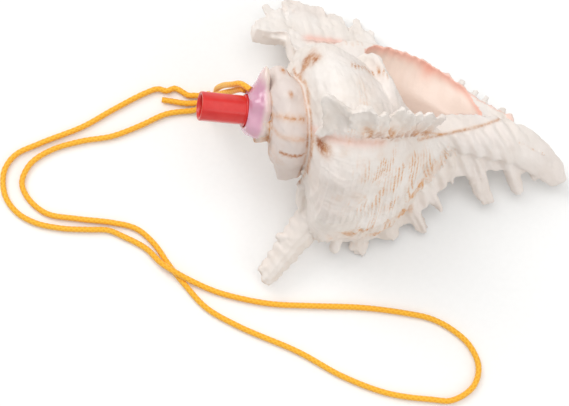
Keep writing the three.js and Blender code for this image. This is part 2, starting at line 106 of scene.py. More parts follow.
# Fronds by their ridge: foot and tip as along and out, width at foot and at tip, thickness, bend toward
# the spire, lean back against growth, and twigs as (share, side, length, lean).
FRONDS = {
    LIP_TURN: [
        (56, 76, 30, 78, 14, 8, 8, 10, 0, []),
        (52, 82, 40.5, 107, 12, 5, 6, 0, 0, []),
        (63, 72, 60.5, 116, 21, 10, 7, 0, 0, [(0.75, 1, 6, 40)]),
        (75, 72, 77, 111, 18, 9, 7, 0, 0, []),
        (87, 70, 89, 105.5, 16, 8, 7, 0, 0, []),
        (98, 66, 101.5, 103.5, 13, 5, 7, 0, 0, []),
        (106, 62, 109, 92, 12, 5, 7, 0, 0, []),
        (137, 42, 145, 65, 11, 3, 6, 0, 4, []),
        (151, 30, 165, 54, 10, 3, 6, 0, 4, []),
        (159, 24, 172, 44, 9, 3, 6, 0, 4, []),
        (166, 17, 179, 40, 9, 3, 6, 0, 4, []),
        (176, 10, 188, 30, 9, 3, 6, 0, 4, []),
        (86, 62, 80, 92, 16, 9, 9, 10, 62, []),
        (106, 58, 110, 80, 14, 8, 9, 5, 62, []),
        (124, 50, 132, 72, 13, 7, 9, 5, 58, []),
    ],
    NEAR_TURN: [
        (80, 50, 47, 110, 26, 15, 9, 12, 5, [(0.5, 1, 7, 62), (0.82, 1, 6, 30), (0.84, -1, 5, 30)]),
        (80, 50, 76, 79, 16, 9, 8, 0, 2, []),
        (87, 50, 90, 89, 15, 5, 8, 4, 4, []),
        (99, 48, 108.8, 91.1, 19, 9, 9, -6, 0, [(0.72, 1, 6, 40)]),
        (111, 42, 124, 76, 19, 12, 9, -6, 4, []),
        (120, 36, 145, 70, 16, 9, 8, -6, 2, []),
        (128, 28, 152, 55, 14, 6, 8, -6, 0, []),
        (141, 12, 156, 36.5, 10, 3, 7, 0, 0, []),
    ],
    TOP_TURN: [
        (63, 47, 43, 79, 28, 5, 9, 6, 40, []),
        (73, 49, 69, 75, 20, 14, 9, 0, 36, []),
        (82, 49, 82, 70, 13, 8, 8, 0, 38, []),
        (88.5, 45, 93, 69, 13, 8, 8, 0, 44, []),
        (95, 40, 99.5, 64, 14, 9, 8, 0, 36, []),
        (102.5, 33, 109, 53, 12, 6, 7, 0, 42, []),
        (110, 25, 118, 48, 14, 8, 7, 0, 36, []),
        (121, 15, 130, 32, 12, 5, 6, 0, 42, []),
    ],
}
CANAL_FRONDS = [
    (160, 8, 182, 47.5, 16, 8, 8, -4, 0, [(0.45, 1, 4, 40)]),
    (180, 4, 201, 38, 15, 7, 7, -4, 0, []),
    (197, 8, 208, 28.5, 10, 3, 6, 0, 0, []),
    (150, 6, 166, 31, 12, 5, 6, 0, 0, []),
]

# Thin plates that join the fronds: place along the axis, and how far out their foot and their edge are.
LIP_WEB = [
    (30, 74, 81), (36, 73, 92), (43, 73, 98), (50, 74, 104), (53, 58, 108), (61, 50, 112), (76, 50, 109),
    (88, 50, 103), (97, 50, 95), (107, 50, 90), (116, 45, 76),
]
NEAR_WEB = [
    (58, 46, 56), (64, 40, 66), (73, 40, 74), (84, 40, 79), (100, 38, 80), (114, 30, 78), (122, 24, 75),
    (130, 18, 68), (140, 10, 56), (147, 4, 42), (155, 0, 31), (164, 0, 28.5), (174, 0, 25), (186, 0, 22.5),
    (198, 4, 22.5), (208, 8, 24), (214, 14, 26),
]
# Half the thickness of those plates at their foot and at their edge.
WEB_FOOT, WEB_EDGE = 6, 1.5

# Brown spots on old ridges: place in turns, place on the growing edge, and size in mm.
SPOTS = [
    (-0.818, -2.0, 4.6), (-0.797, 2.2, 3.4), (-0.567, -1.0, 4.6),
    (-1.83, 19, 3.4), (-1.84, 31, 3.4), (-1.70, 17, 3.4),
]

# The skin is rebuilt from cubes of this size, and thinned to about this many triangles.
VOXEL = 0.85
SHELL_TRIANGLES = 185000

# The cord: its radius, its plaits, and its route over the table, in the part's frame.
CORD_RADIUS = 1.9
PLAIT_LENGTH, PLAITS_ROUND = 3.4, 4.0
LEG_RIGHT = [
    (-75.4, 13, 89.2), (-79, 16, 87.6), (-81.7, 18, 85), (-86.6, 19.4, 78), (-92, 23.5, 62), (-97, 27.5, 40),
    (-98, 29, 25), (-99, 29.8, 12.5),
]
LEG_LEFT = [
    (-78.6, 14.2, 83.2), (-80.5, 15.4, 81.5), (-83.2, 16.8, 76), (-86.2, 18, 69), (-95, 20.8, 52),
    (-101.5, 24, 32), (-104.5, 25.6, 20), (-104.6, 27, 12),
]
LOOP = [
    (-112, 33.6, 3), (-117, 34, 2), (-121, 36.5, 2), (-125.5, 38.6, 2), (-130.5, 36.8, 2),
    (-136, 38.2, 2), (-146, 34.5, 2), (-166, 23.5, 2), (-183, 13.5, 2), (-210, 2.5, 2),
    (-226, -5.5, 2), (-232.5, -16, 2), (-231.5, -31, 2), (-224, -42, 2), (-212, -49, 2),
    (-195, -52.6, 2), (-178, -53.4, 2), (-166, -53.8, 2), (-157, -57.5, 2.2), (-142, -65.5, 2.3),
    (-132.5, -75, 4.6), (-124.5, -80.5, 6.2), (-115, -85.5, 4.2), (-99, -92.5, 2.2), (-83, -97, 2),
    (-63, -100.6, 2), (-37, -101.8, 2), (-6, -103, 2), (20, -106.4, 2), (36, -110, 2),
    (49, -117, 2), (59.5, -127, 2), (64.5, -140, 2), (61, -152, 2), (48, -160.5, 2),
    (35, -160, 2), (9, -156.4, 2), (-19, -146, 2), (-47, -130.5, 2), (-83, -115, 2),
    (-104, -103, 2), (-117, -89, 2), (-127.5, -76, 2), (-137, -62.5, 2), (-148, -53, 2),
    (-163, -49, 2), (-186, -46.4, 2), (-205, -43, 2), (-217, -33, 2), (-221, -23, 2),
    (-216, -11, 2), (-203, -2, 2), (-184, 3.8, 2), (-165, 7, 2), (-148, 13.5, 2),
    (-131, 21.5, 2), (-121, 23.2, 2), (-112, 24, 3),
]
TAIL = [(-104, 29, 4), (-111, 28.6, 3), (-119, 28.7, 2), (-127, 30, 2), (-133.4, 31, 2)]

# The knot's wraps: their middle, how often they go round, how long they are, and their reach across and up.
KNOT_AT = (-103.2, 29.4, 6.2)
KNOT_TURNS, KNOT_LENGTH, KNOT_ACROSS, KNOT_UP = 2.3, 9.2, 4.3, 3.6


# ---------------------------------------------------------------- helpers

def linear(code):
    """A colour from its sRGB hex code, as the linear values that shaders and lights take."""
    values = [int(code[i:i + 2], 16) / 255 for i in (1, 3, 5)]
    return [v / 12.92 if v <= 0.04045 else ((v + 0.055) / 1.055) ** 2.4 for v in values] + [1.0]


def add(tree, kind, links=None, **settings):
    """A new node with its settings. Links give each input, by name or number, a value, socket or node."""
    node = tree.nodes.new(kind)
    for name, value in settings.items():
        setattr(node, name, value)
    for name, value in (links or {}).items():
        socket = node.inputs[name]
        if isinstance(value, bpy.types.Node):
            value = next(output for output in value.outputs if output.enabled)
        if isinstance(value, bpy.types.NodeSocket):
            tree.links.new(value, socket)
        else:
            socket.default_value = value
    return node


def smooth_step(value, low, high):
    """0 below low, 1 above high, and a smooth rise between them."""
    share = np.clip((value - low) / (high - low), 0, 1)
    return share * share * (3 - 2 * share)


def band(value, centre, width):
    """1 at the centre, falling smoothly to nothing at about twice the width."""
    return np.exp(-(((value - centre) / width) ** 2))


def through(points, spacing):
    """A smooth line through points, with a point about every spacing."""
    points = [Vector(p) for p in points]
    padded = [2 * points[0] - points[1], *points, 2 * points[-1] - points[-2]]
    line = []
    for before, start, end, after in zip(padded, padded[1:], padded[2:], padded[3:]):
        gaps = [max((b - a).length, 1e-6) ** 0.5 for a, b in ((before, start), (start, end), (end, after))]
        t = np.concatenate(([0], np.cumsum(gaps)))
        steps = max(2, round((end - start).length / spacing))
        for i in range(steps):
            x = t[1] + (t[2] - t[1]) * i / steps
            a = before.lerp(start, (x - t[0]) / (t[1] - t[0]))
            b = start.lerp(end, (x - t[1]) / (t[2] - t[1]))
            c = end.lerp(after, (x - t[2]) / (t[3] - t[2]))
            d = a.lerp(b, (x - t[0]) / (t[2] - t[0]))
            e = b.lerp(c, (x - t[1]) / (t[3] - t[1]))
            line.append(d.lerp(e, (x - t[1]) / (t[2] - t[1])))
    line.append(points[-1])
    return line


def wander(points, size, seed):
    """A smooth random value near -1 to 1 at each point, whose hills are about that size."""
    rng = np.random.default_rng(seed)
    total = np.zeros(len(points))
    waves = 14
    for _ in range(waves):
        way = rng.normal(size=3)
        way *= rng.uniform(0.6, 1.5) * math.tau / size / np.linalg.norm(way) / 2
        total += np.sin(points @ way + rng.uniform(0, math.tau))
    return total / math.sqrt(waves / 2) / 1.4


def coordinates(mesh):
    values = np.empty(len(mesh.vertices) * 3, dtype=np.float32)
    mesh.vertices.foreach_get("co", values)
    return values.reshape(-1, 3).astype(float)


def set_coordinates(mesh, points):
    mesh.vertices.foreach_set("co", points.astype(np.float32).ravel())
    mesh.update()


def normals(mesh):
    values = np.empty(len(mesh.vertices) * 3, dtype=np.float32)
    mesh.vertex_normals.foreach_get("vector", values)
    return values.reshape(-1, 3).astype(float)


def store(mesh, name, values):
    layer = mesh.attributes.new(name, "FLOAT", "POINT")
    layer.data.foreach_set("value", np.asarray(values, dtype=np.float32))


def stored(mesh, name):
    values = np.empty(len(mesh.vertices), dtype=np.float32)
    mesh.attributes[name].data.foreach_get("value", values)
    return values.astype(float)


def mesh_of(name, points, faces):
    mesh = bpy.data.meshes.new(name)
    mesh.from_pydata([tuple(p) for p in points], [], faces)
    mesh.update()
    return mesh


def ring_faces(rings, around):
    """Faces of a tube whose points come ring by ring, and whose last ring meets the first."""
    faces = []
    for i in range(rings):
        n = (i + 1) % rings
        for j in range(around):
            k = (j + 1) % around
            faces.append((i * around + j, i * around + k, n * around + k, n * around + j))
    return faces


def tube_faces(rings, around):
    """The same for a tube with two closed ends."""
    faces = ring_faces(rings, around)[:-around]
    faces.append(tuple(range(around))[::-1])
    faces.append(tuple((rings - 1) * around + j for j in range(around)))
    return faces


def facing_out(mesh):
    work = bmesh.new()
    work.from_mesh(mesh)
    bmesh.ops.remove_doubles(work, verts=work.verts, dist=1e-4)
    bmesh.ops.recalc_face_normals(work, faces=work.faces)
    work.to_mesh(mesh)
    work.free()
    return mesh


def all_of(mesh, material):
    """Gives the whole of a mesh one material."""
    mesh.materials.clear()
    mesh.materials.append(material)
    mesh.polygons.foreach_set("material_index", np.zeros(len(mesh.polygons), dtype=np.int32))
    return mesh


def object_of(name, data):
    made = bpy.data.objects.new(name, data)
    COLLECTION.objects.link(made)
    return made


def guide_of(name, points, unit=1.0):
    """A line through points, for a tree to follow."""
    data = bpy.data.curves.new(name, "CURVE")
    data.dimensions = "3D"
    spline = data.splines.new("POLY")
    spline.points.add(len(points) - 1)
    spline.points.foreach_set("co", [v for p in points for v in (p[0] * unit, p[1] * unit, p[2] * unit, 1.0)])
    return object_of(name, data)


def finished(source, name):
    """The plain mesh of an object with its modifiers used up. The object itself is removed."""
    depsgraph = bpy.context.evaluated_depsgraph_get()
    depsgraph.update()
    mesh = bpy.data.meshes.new_from_object(source.evaluated_get(depsgraph), depsgraph=depsgraph)
    mesh.name = name
    bpy.data.objects.remove(source)
    return mesh


def new_tree(name, inputs):
    tree = bpy.data.node_groups.new(name, "GeometryNodeTree")
    for label, kind, value in inputs:
        socket = tree.interface.new_socket(label, in_out="INPUT", socket_type=kind)
        if value is not None:
            socket.default_value = value
    tree.interface.new_socket("Mesh", in_out="OUTPUT", socket_type="NodeSocketGeometry")
    return tree, tree.nodes.new("NodeGroupInput").outputs


def made_by(tree, name, values):
    """The plain mesh that a tree makes from these values."""
    holder = object_of(name, bpy.data.meshes.new(name))
    maker = holder.modifiers.new("maker", "NODES")
    maker.node_group = tree
    for item in tree.interface.items_tree:
        if item.in_out == "INPUT" and item.name in values:
            maker[item.identifier] = values[item.name]
    return finished(holder, name)


def cut(mesh, cutter, name):
    """A mesh with a cutter taken away. Faces that the cutter leaves carry its own material."""
    body = object_of(name, mesh)
    tool = object_of(name + "_cutter", cutter)
    boolean = body.modifiers.new("cut", "BOOLEAN")
    boolean.operation = "DIFFERENCE"
    boolean.solver = "MANIFOLD"
    boolean.material_mode = "TRANSFER"
    boolean.object = tool
    made = finished(body, name)
    bpy.data.objects.remove(tool)
    return made


def to_part(mesh):
    """Puts a mesh made in the shell's own frame, in mm, where the part has it, in metres."""
    mesh.transform(Matrix.Scale(MM, 4) @ LIE)
    mesh.update()


def around_axis(profile, segments, wobble=None):
    """A solid turned about the shell's axis from a closed profile of (along, out), and bent by a wobble."""
    points = []
    for j in range(segments):
        angle = math.tau * j / segments
        for along, out in profile:
            bend = wobble(along, out, angle) if wobble else 1
            points.append((along, out * bend * math.sin(angle), out * bend * math.cos(angle)))
    return points, ring_faces(segments, len(profile))


# ---------------------------------------------------------------- camera

# Where it stands in m, how far it is tipped up from looking straight down in degrees, and the lens and the
# film's width in mm.
CAMERA_AT = (-0.062263, -0.290709, 1.1497)
CAMERA_TIP = 12.3
LENS, FILM_WIDTH = 118.1, 36
FARTHEST_SEEN = 10

camera_data = bpy.data.cameras.new("camera")
camera_data.lens = LENS
camera_data.sensor_width = FILM_WIDTH
camera_data.clip_end = FARTHEST_SEEN
camera = object_of("camera", camera_data)
camera.location = CAMERA_AT
camera.rotation_euler = (math.radians(CAMERA_TIP), 0, 0)
bpy.context.scene.camera = camera
bpy.context.scene.view_settings.view_transform = "Standard"


# ---------------------------------------------------------------- cord

def braid_tree():
    """A round braid of plaits along a line: a tube whose surface swells at each crossing of the plaits."""
    tree, given = new_tree("round_braid", [
        ("Line", "NodeSocketObject", None),
        ("Radius", "NodeSocketFloat", CORD_RADIUS * MM),
        ("Step", "NodeSocketFloat", 0.0006),
        ("Plait length", "NodeSocketFloat", PLAIT_LENGTH * MM),
        ("Plaits round", "NodeSocketFloat", PLAITS_ROUND),
        ("Swell", "NodeSocketFloat", 0.12),
        ("Sides", "NodeSocketInt", 16),
        ("Material", "NodeSocketMaterial", None),
    ])
    line = add(tree, "GeometryNodeObjectInfo", {"Object": given["Line"]})
    even = add(
        tree, "GeometryNodeResampleCurve", {"Curve": line.outputs["Geometry"], "Length": given["Step"]},
        mode="LENGTH",
    )
    run = add(tree, "GeometryNodeSplineParameter")
    marked = add(
        tree, "GeometryNodeStoreNamedAttribute",
        {"Geometry": even, "Name": "run", "Value": run.outputs["Length"]}, data_type="FLOAT", domain="POINT",
    )
    ring = add(
        tree, "GeometryNodeCurvePrimitiveCircle", {"Resolution": given["Sides"], "Radius": 1.0},
        mode="RADIUS",
    )
    share = add(tree, "GeometryNodeSplineParameter")
    marked_ring = add(
        tree, "GeometryNodeStoreNamedAttribute",
        {"Geometry": ring, "Name": "round", "Value": share.outputs["Factor"]}, data_type="FLOAT",
        domain="POINT",
    )
    thin = add(tree, "GeometryNodeSetCurveRadius", {"Curve": marked, "Radius": given["Radius"]})
    tube = add(
        tree, "GeometryNodeCurveToMesh",
        {"Curve": thin, "Profile Curve": marked_ring, "Fill Caps": True, "Scale": given["Radius"]},
    )
    along = add(tree, "GeometryNodeInputNamedAttribute", {"Name": "run"}, data_type="FLOAT")
    about = add(tree, "GeometryNodeInputNamedAttribute", {"Name": "round"}, data_type="FLOAT")
    turns = add(tree, "ShaderNodeMath", {0: along, 1: given["Plait length"]}, operation="DIVIDE")
    whole = add(tree, "ShaderNodeMath", {0: about, 1: given["Plaits round"]}, operation="MULTIPLY")
    right = add(tree, "ShaderNodeMath", {0: whole, 1: turns}, operation="ADD")
    left = add(tree, "ShaderNodeMath", {0: whole, 1: turns}, operation="SUBTRACT")
    waves = []
    for twist in (right, left):
        phase = add(tree, "ShaderNodeMath", {0: twist, 1: math.tau}, operation="MULTIPLY")
        waves.append(add(tree, "ShaderNodeMath", {0: phase}, operation="COSINE"))
    swell = add(tree, "ShaderNodeMath", {0: waves[0], 1: waves[1]}, operation="MAXIMUM")
    sunk = add(tree, "ShaderNodeMath", {0: swell, 1: 1.0}, operation="SUBTRACT")
    lift = add(tree, "ShaderNodeMath", {0: sunk, 1: given["Swell"]}, operation="MULTIPLY")
    reach = add(tree, "ShaderNodeMath", {0: lift, 1: given["Radius"]}, operation="MULTIPLY")
    facing = add(tree, "GeometryNodeInputNormal")
    push = add(tree, "ShaderNodeVectorMath", {0: facing, "Scale": reach}, operation="SCALE")
    shaped = add(tree, "GeometryNodeSetPosition", {"Geometry": tube, "Offset": push})
    real = add(tree, "GeometryNodeRealizeInstances", {"Geometry": shaped})
    dressed = add(tree, "GeometryNodeSetMaterial", {"Geometry": real, "Material": given["Material"]})
    add(tree, "NodeGroupOutput", {"Mesh": dressed})
    return tree


# ---------------------------------------------------------------- materials

def new_material(name):
    material = bpy.data.materials.new(name)
    material.use_nodes = True
    material.node_tree.nodes.clear()
    return material, material.node_tree


def braided_cord():
    """Polyester cord, plaited from fine filaments: a soft sheen, and painted shade that makes it darker and
    warmer between the plaits.
    """
    material, tree = new_material("polyester_cord_braided")
    run = add(tree, "ShaderNodeAttribute", attribute_name="run")
    about = add(tree, "ShaderNodeAttribute", attribute_name="round")
    # The same plaits as on the mesh, so that the valleys get painted shade, darker and warmer.
    turns = add(tree, "ShaderNodeMath", {0: run.outputs["Fac"], 1: PLAIT_LENGTH * MM}, operation="DIVIDE")
    whole = add(tree, "ShaderNodeMath", {0: about.outputs["Fac"], 1: PLAITS_ROUND}, operation="MULTIPLY")
    waves = []
    for way in ("ADD", "SUBTRACT"):
        twist = add(tree, "ShaderNodeMath", {0: whole, 1: turns}, operation=way)
        phase = add(tree, "ShaderNodeMath", {0: twist, 1: math.tau}, operation="MULTIPLY")
        waves.append(add(tree, "ShaderNodeMath", {0: phase}, operation="COSINE"))
    swell = add(tree, "ShaderNodeMath", {0: waves[0], 1: waves[1]}, operation="MAXIMUM")
    depth = add(tree, "ShaderNodeMapRange", {"Value": swell, "From Min": -0.4, "From Max": 0.9})
    tone = add(
        tree, "ShaderNodeMix", {"Factor": depth, "A": linear("#F2A612"), "B": linear("#FDBF28")},
        data_type="RGBA",
    )
    # Filaments are too fine to show one by one, so a noise about 1 mm across stands for them.
    place = add(tree, "ShaderNodeTexCoord")
    filaments = add(
        tree, "ShaderNodeTexNoise", {"Vector": place.outputs["Object"], "Scale": 900.0, "Detail": 3.0},
    )
    blotch = add(
        tree, "ShaderNodeTexNoise", {"Vector": place.outputs["Object"], "Scale": 30.0, "Detail": 2.0},
    )
    shade = add(
        tree, "ShaderNodeMapRange",
        {"Value": blotch, "From Min": 0.3, "From Max": 0.7, "To Min": 0.0, "To Max": 0.3},
    )
    mixed = add(
        tree, "ShaderNodeMix", {"Factor": shade, "A": tone.outputs["Result"], "B": linear("#FAA912")},
        data_type="RGBA",
    )
    bump = add(tree, "ShaderNodeBump", {"Height": filaments, "Strength": 0.35, "Distance": 0.0003})
    surface = add(
        tree, "ShaderNodeBsdfPrincipled",
        {
            "Base Color": mixed.outputs["Result"], "Roughness": 0.6, "Normal": bump, "Sheen Weight": 0.3,
            "Sheen Roughness": 0.5, "IOR": 1.5,
        },
    )
    add(tree, "ShaderNodeOutputMaterial", {"Surface": surface})
    return material


def moulded_plastic():
    """Glossy polystyrene, injection moulded: an even red with soft reflections and faint flow marks."""
    material, tree = new_material("polystyrene_red_moulded")
    place = add(tree, "ShaderNodeTexCoord")
    flow = add(tree, "ShaderNodeTexNoise", {"Vector": place.outputs["Object"], "Scale": 160.0, "Detail": 2.0})
    shade = add(tree, "ShaderNodeMapRange", {"Value": flow, "From Min": 0.3, "From Max": 0.7})
    tone = add(
        tree, "ShaderNodeMix", {"Factor": shade, "A": linear("#D2201C"), "B": linear("#DC2F29")},
        data_type="RGBA",
    )
    gloss = add(tree, "ShaderNodeMapRange", {"Value": flow, "To Min": 0.24, "To Max": 0.36})
    bump = add(tree, "ShaderNodeBump", {"Height": flow, "Strength": 0.08, "Distance": 0.0006})
    surface = add(
        tree, "ShaderNodeBsdfPrincipled",
        {
            "Base Color": tone.outputs["Result"], "Roughness": gloss, "Normal": bump, "IOR": 1.55,
            "Coat Weight": 0.25, "Coat Roughness": 0.12,
        },
    )
    add(tree, "ShaderNodeOutputMaterial", {"Surface": surface})
    return material


def glossy_putty():
    """Epoxy putty, tinted lilac and smoothed wet: glossy, a little see-through, and paler where thin."""
    material, tree = new_material("epoxy_putty_lilac")
    place = add(tree, "ShaderNodeTexCoord")
    cloud = add(tree, "ShaderNodeTexNoise", {"Vector": place.outputs["Object"], "Scale": 70.0, "Detail": 2.0})
    thin = add(tree, "ShaderNodeAttribute", attribute_name="thin")
    shade = add(tree, "ShaderNodeMapRange", {"Value": cloud, "From Min": 0.35, "From Max": 0.65})
    tone = add(
        tree, "ShaderNodeMix", {"Factor": shade, "A": linear("#CE95AD"), "B": linear("#D9A9BC")},
        data_type="RGBA",
    )
    paler = add(
        tree, "ShaderNodeMix",
        {"Factor": thin.outputs["Fac"], "A": tone.outputs["Result"], "B": linear("#E6D5CA")},
        data_type="RGBA",
    )
    bump = add(tree, "ShaderNodeBump", {"Height": cloud, "Strength": 0.2, "Distance": 0.002})
    surface = add(
        tree, "ShaderNodeBsdfPrincipled",
        {
            "Base Color": paler.outputs["Result"], "Roughness": 0.16, "Normal": bump, "IOR": 1.5,
            "Subsurface Weight": 0.25, "Subsurface Scale": 0.003, "Coat Weight": 0.4, "Coat Roughness": 0.08,
        },
    )
    surface.inputs["Subsurface Radius"].default_value = (1.0, 0.6, 0.8)
    add(tree, "ShaderNodeOutputMaterial", {"Surface": surface})
    return material


def worn_shell():
    """Aragonite, grown by the animal and worn by the sea: chalky white outside with stained growth lines, and
    smooth and cream with a pink edge inside the mouth."""
    material, tree = new_material("aragonite_shell_worn")
    place = add(tree, "ShaderNodeTexCoord")
    marks = {}
    for name in ("stain_and_shade", "brown", "pink", "beige", "inner"):
        marks[name] = add(tree, "ShaderNodeAttribute", attribute_name=name).outputs["Fac"]
    broad = add(tree, "ShaderNodeTexNoise", {"Vector": place.outputs["Object"], "Scale": 45.0, "Detail": 3.0})
    fine = add(
        tree, "ShaderNodeTexNoise",
        {"Vector": place.outputs["Object"], "Scale": 420.0, "Detail": 4.0, "Roughness": 0.65},
    )
    chalk_share = add(tree, "ShaderNodeMapRange", {"Value": broad, "From Min": 0.35, "From Max": 0.68})
    chalk = add(
        tree, "ShaderNodeMix", {"Factor": chalk_share, "A": linear("#EFE8E2"), "B": linear("#E6DCD3")},
        data_type="RGBA",
    )
    # Stains, and the painted shade that shares their masks, sit in the fine pores, 1 to 3 mm across, so their
    # edge is broken up.
    pores = add(tree, "ShaderNodeMapRange", {"Value": fine, "From Min": 0.38, "From Max": 0.62})
    in_pores = {}
    for name, gain, least in (("stain_and_shade", 0.6, 0.45), ("brown", 0.7, 0.5)):
        held = add(tree, "ShaderNodeMath", {0: pores, 1: gain, 2: least}, operation="MULTIPLY_ADD")
        in_pores[name] = add(
            tree, "ShaderNodeMath", {0: marks[name], 1: held}, operation="MULTIPLY", use_clamp=True,
        )
    # Warmer old whorls, the cream lining, the pink edge, then tan and brown stains, which also carry painted
    # shade in the hollows of the top ridge's fronds, one over the other.
    tone = chalk
    for share, code in (
        (marks["beige"], "#E0D3CC"), (marks["inner"], "#EBD6C8"), (marks["pink"], "#F0AE9A"),
        (in_pores["stain_and_shade"], "#D79A5B"), (in_pores["brown"], "#A05C33"),
    ):
        links = {"Factor": share, "A": tone.outputs["Result"], "B": linear(code)}
        tone = add(tree, "ShaderNodeMix", links, data_type="RGBA")
    rough = add(tree, "ShaderNodeMapRange", {"Value": marks["inner"], "To Min": 0.62, "To Max": 0.32})
    grain = add(tree, "ShaderNodeBump", {"Height": fine, "Strength": 0.25, "Distance": 0.0006})
    surface = add(
        tree, "ShaderNodeBsdfPrincipled",
        {"Base Color": tone.outputs["Result"], "Roughness": rough, "Normal": grain, "IOR": 1.53},
    )
    add(tree, "ShaderNodeOutputMaterial", {"Surface": surface})
    return material


def paper_floor():
    """Matt white paper, rolled out: no gloss and hardly any grain."""
    material, tree = new_material("paper_white")
    place = add(tree, "ShaderNodeTexCoord")
    fibre = add(tree, "ShaderNodeTexNoise", {"Vector": place.outputs["Object"], "Scale": 300.0})
    tone = add(
        tree, "ShaderNodeMix", {"Factor": fibre, "A": linear("#F6F6F5"), "B": linear("#FAFAF9")},
        data_type="RGBA",
    )
    surface = add(tree, "ShaderNodeBsdfPrincipled", {"Base Color": tone.outputs["Result"], "Roughness": 0.95})
    add(tree, "ShaderNodeOutputMaterial", {"Surface": surface})
    return material


CORD = braided_cord()
PLASTIC = moulded_plastic()
PUTTY = glossy_putty()
SHELL = worn_shell()


# ---------------------------------------------------------------- cord and knot

BRAID = braid_tree()


def braided(name, line):
    """A braided cord along a line of points in mm."""
    guide = guide_of(name + "_line", line, MM)
    mesh = made_by(BRAID, name, {"Line": guide, "Radius": CORD_RADIUS * MM, "Material": CORD})
    bpy.data.objects.remove(guide)
    return mesh


def laid(points, spacing):
    """A smooth line through points on the table, in the part's frame, which never sinks into the table."""
    line = through([Vector(p) + CENTRE for p in points], spacing)
    return [Vector((p.x, p.y, max(p.z, CORD_RADIUS + 0.1))) for p in line]


route = laid([*LEG_RIGHT, *LOOP, *reversed(LEG_LEFT)], 2.0)
cord = object_of("neck_cord", braided("neck_cord", route))
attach(cord, "root")
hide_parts("cord_leg_right", "cord_leg_left", "cord_loop")


def knot_mesh():
    """The knot: its wraps round the cord's legs, and the short tail that comes out of it."""
    wraps = []
    steps = 60
    for i in range(steps + 1):
        angle = math.tau * KNOT_TURNS * i / steps
        wraps.append((
            KNOT_AT[0] - KNOT_LENGTH / 2 + KNOT_LENGTH * i / steps,
            KNOT_AT[1] + KNOT_ACROSS * math.cos(angle),
            KNOT_AT[2] + KNOT_UP * math.sin(angle),
        ))
    work = bmesh.new()
    work.from_mesh(braided("wraps", laid(wraps, 1.5)))
    work.from_mesh(braided("tail", laid(TAIL, 1.5)))
    made = bpy.data.meshes.new("knot_wraps")
    work.to_mesh(made)
    work.free()
    made.materials.append(CORD)
    return made


knot = object_of("cord_knot", knot_mesh())
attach(knot, "root")
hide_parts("knot")


# ---------------------------------------------------------------- shell

def whorl_tree():
    """The spiral: a growing edge swept round the axis while it grows by a fixed share each turn."""
    tree, given = new_tree("spiral_whorl", [
        ("Growing edge", "NodeSocketObject", None),
        ("Shoulder along", "NodeSocketFloat", SHOULDER_ALONG),
        ("Turn growth", "NodeSocketFloat", TURN_GROWTH),
        ("Lip angle", "NodeSocketFloat", LIP_ANGLE),
        ("First turn", "NodeSocketFloat", FIRST_TURN),
        ("Last turn", "NodeSocketFloat", 0.0),
        ("Rows", "NodeSocketInt", 600),
        ("Columns", "NodeSocketInt", 160),
        ("Middle along", "NodeSocketFloat", 40.0),
        ("Middle out", "NodeSocketFloat", 30.0),
        ("Material", "NodeSocketMaterial", None),
    ])
    grid = add(
        tree, "GeometryNodeMeshGrid",
        {"Size X": 1.0, "Size Y": 1.0, "Vertices X": given["Rows"], "Vertices Y": given["Columns"]},
    )
    spot = add(tree, "ShaderNodeSeparateXYZ", {"Vector": add(tree, "GeometryNodeInputPosition")})
    turn = add(
        tree, "ShaderNodeMapRange",
        {
            "Value": spot.outputs["X"], "From Min": -0.5, "From Max": 0.5, "To Min": given["First turn"],
            "To Max": given["Last turn"],
        },
    )
    share = add(tree, "ShaderNodeMath", {0: spot.outputs["Y"], 1: 0.5}, operation="ADD")
    scale = add(tree, "ShaderNodeMath", {0: given["Turn growth"], 1: turn}, operation="POWER")
    edge = add(tree, "GeometryNodeObjectInfo", {"Object": given["Growing edge"]})
    found = add(
        tree, "GeometryNodeSampleCurve", {"Curves": edge.outputs["Geometry"], "Factor": share},
        mode="FACTOR",
    )
    on_edge = add(tree, "ShaderNodeSeparateXYZ", {"Vector": found.outputs["Position"]})
    # The first and last rows close to a point, so that the coil is a closed solid.
    off_middle = add(tree, "ShaderNodeMath", {0: spot.outputs["X"]}, operation="ABSOLUTE")
    at_end = add(tree, "ShaderNodeMath", {0: off_middle, 1: 0.5, 2: 0.0001}, operation="COMPARE")
    edge_along = add(
        tree, "ShaderNodeMix", {"Factor": at_end, "A": on_edge.outputs["X"], "B": given["Middle along"]},
        data_type="FLOAT",
    )
    edge_out = add(
        tree, "ShaderNodeMix", {"Factor": at_end, "A": on_edge.outputs["Y"], "B": given["Middle out"]},
        data_type="FLOAT",
    )
    from_tip = add(tree, "ShaderNodeMath", {0: edge_along, 1: given["Shoulder along"]}, operation="ADD")
    along = add(tree, "ShaderNodeMath", {0: from_tip, 1: scale}, operation="MULTIPLY")
    out = add(tree, "ShaderNodeMath", {0: edge_out, 1: scale}, operation="MULTIPLY")
    degrees = add(
        tree, "ShaderNodeMath", {0: turn, 1: -360.0, 2: given["Lip angle"]}, operation="MULTIPLY_ADD",
    )
    angle = add(tree, "ShaderNodeMath", {0: degrees}, operation="RADIANS")
    spiral = add(tree, "ShaderNodeCombineXYZ", {"X": along})
    for axis, wave in (("Y", "SINE"), ("Z", "COSINE")):
        part = add(tree, "ShaderNodeMath", {0: angle}, operation=wave)
        reach = add(tree, "ShaderNodeMath", {0: out, 1: part}, operation="MULTIPLY")
        tree.links.new(reach.outputs["Value"], spiral.inputs[axis])
    noted = grid
    for name, value in (("turn", turn), ("edge", edge_along)):
        links = {"Geometry": noted, "Name": name, "Value": value}
        noted = add(tree, "GeometryNodeStoreNamedAttribute", links, data_type="FLOAT", domain="POINT")
    shaped = add(tree, "GeometryNodeSetPosition", {"Geometry": noted, "Position": spiral})
    closed = add(tree, "GeometryNodeMergeByDistance", {"Geometry": shaped, "Distance": 0.002})
    real = add(tree, "GeometryNodeRealizeInstances", {"Geometry": closed})
    dressed = add(tree, "GeometryNodeSetMaterial", {"Geometry": real, "Material": given["Material"]})
    add(tree, "NodeGroupOutput", {"Mesh": dressed})
    return tree


WHORL = whorl_tree()


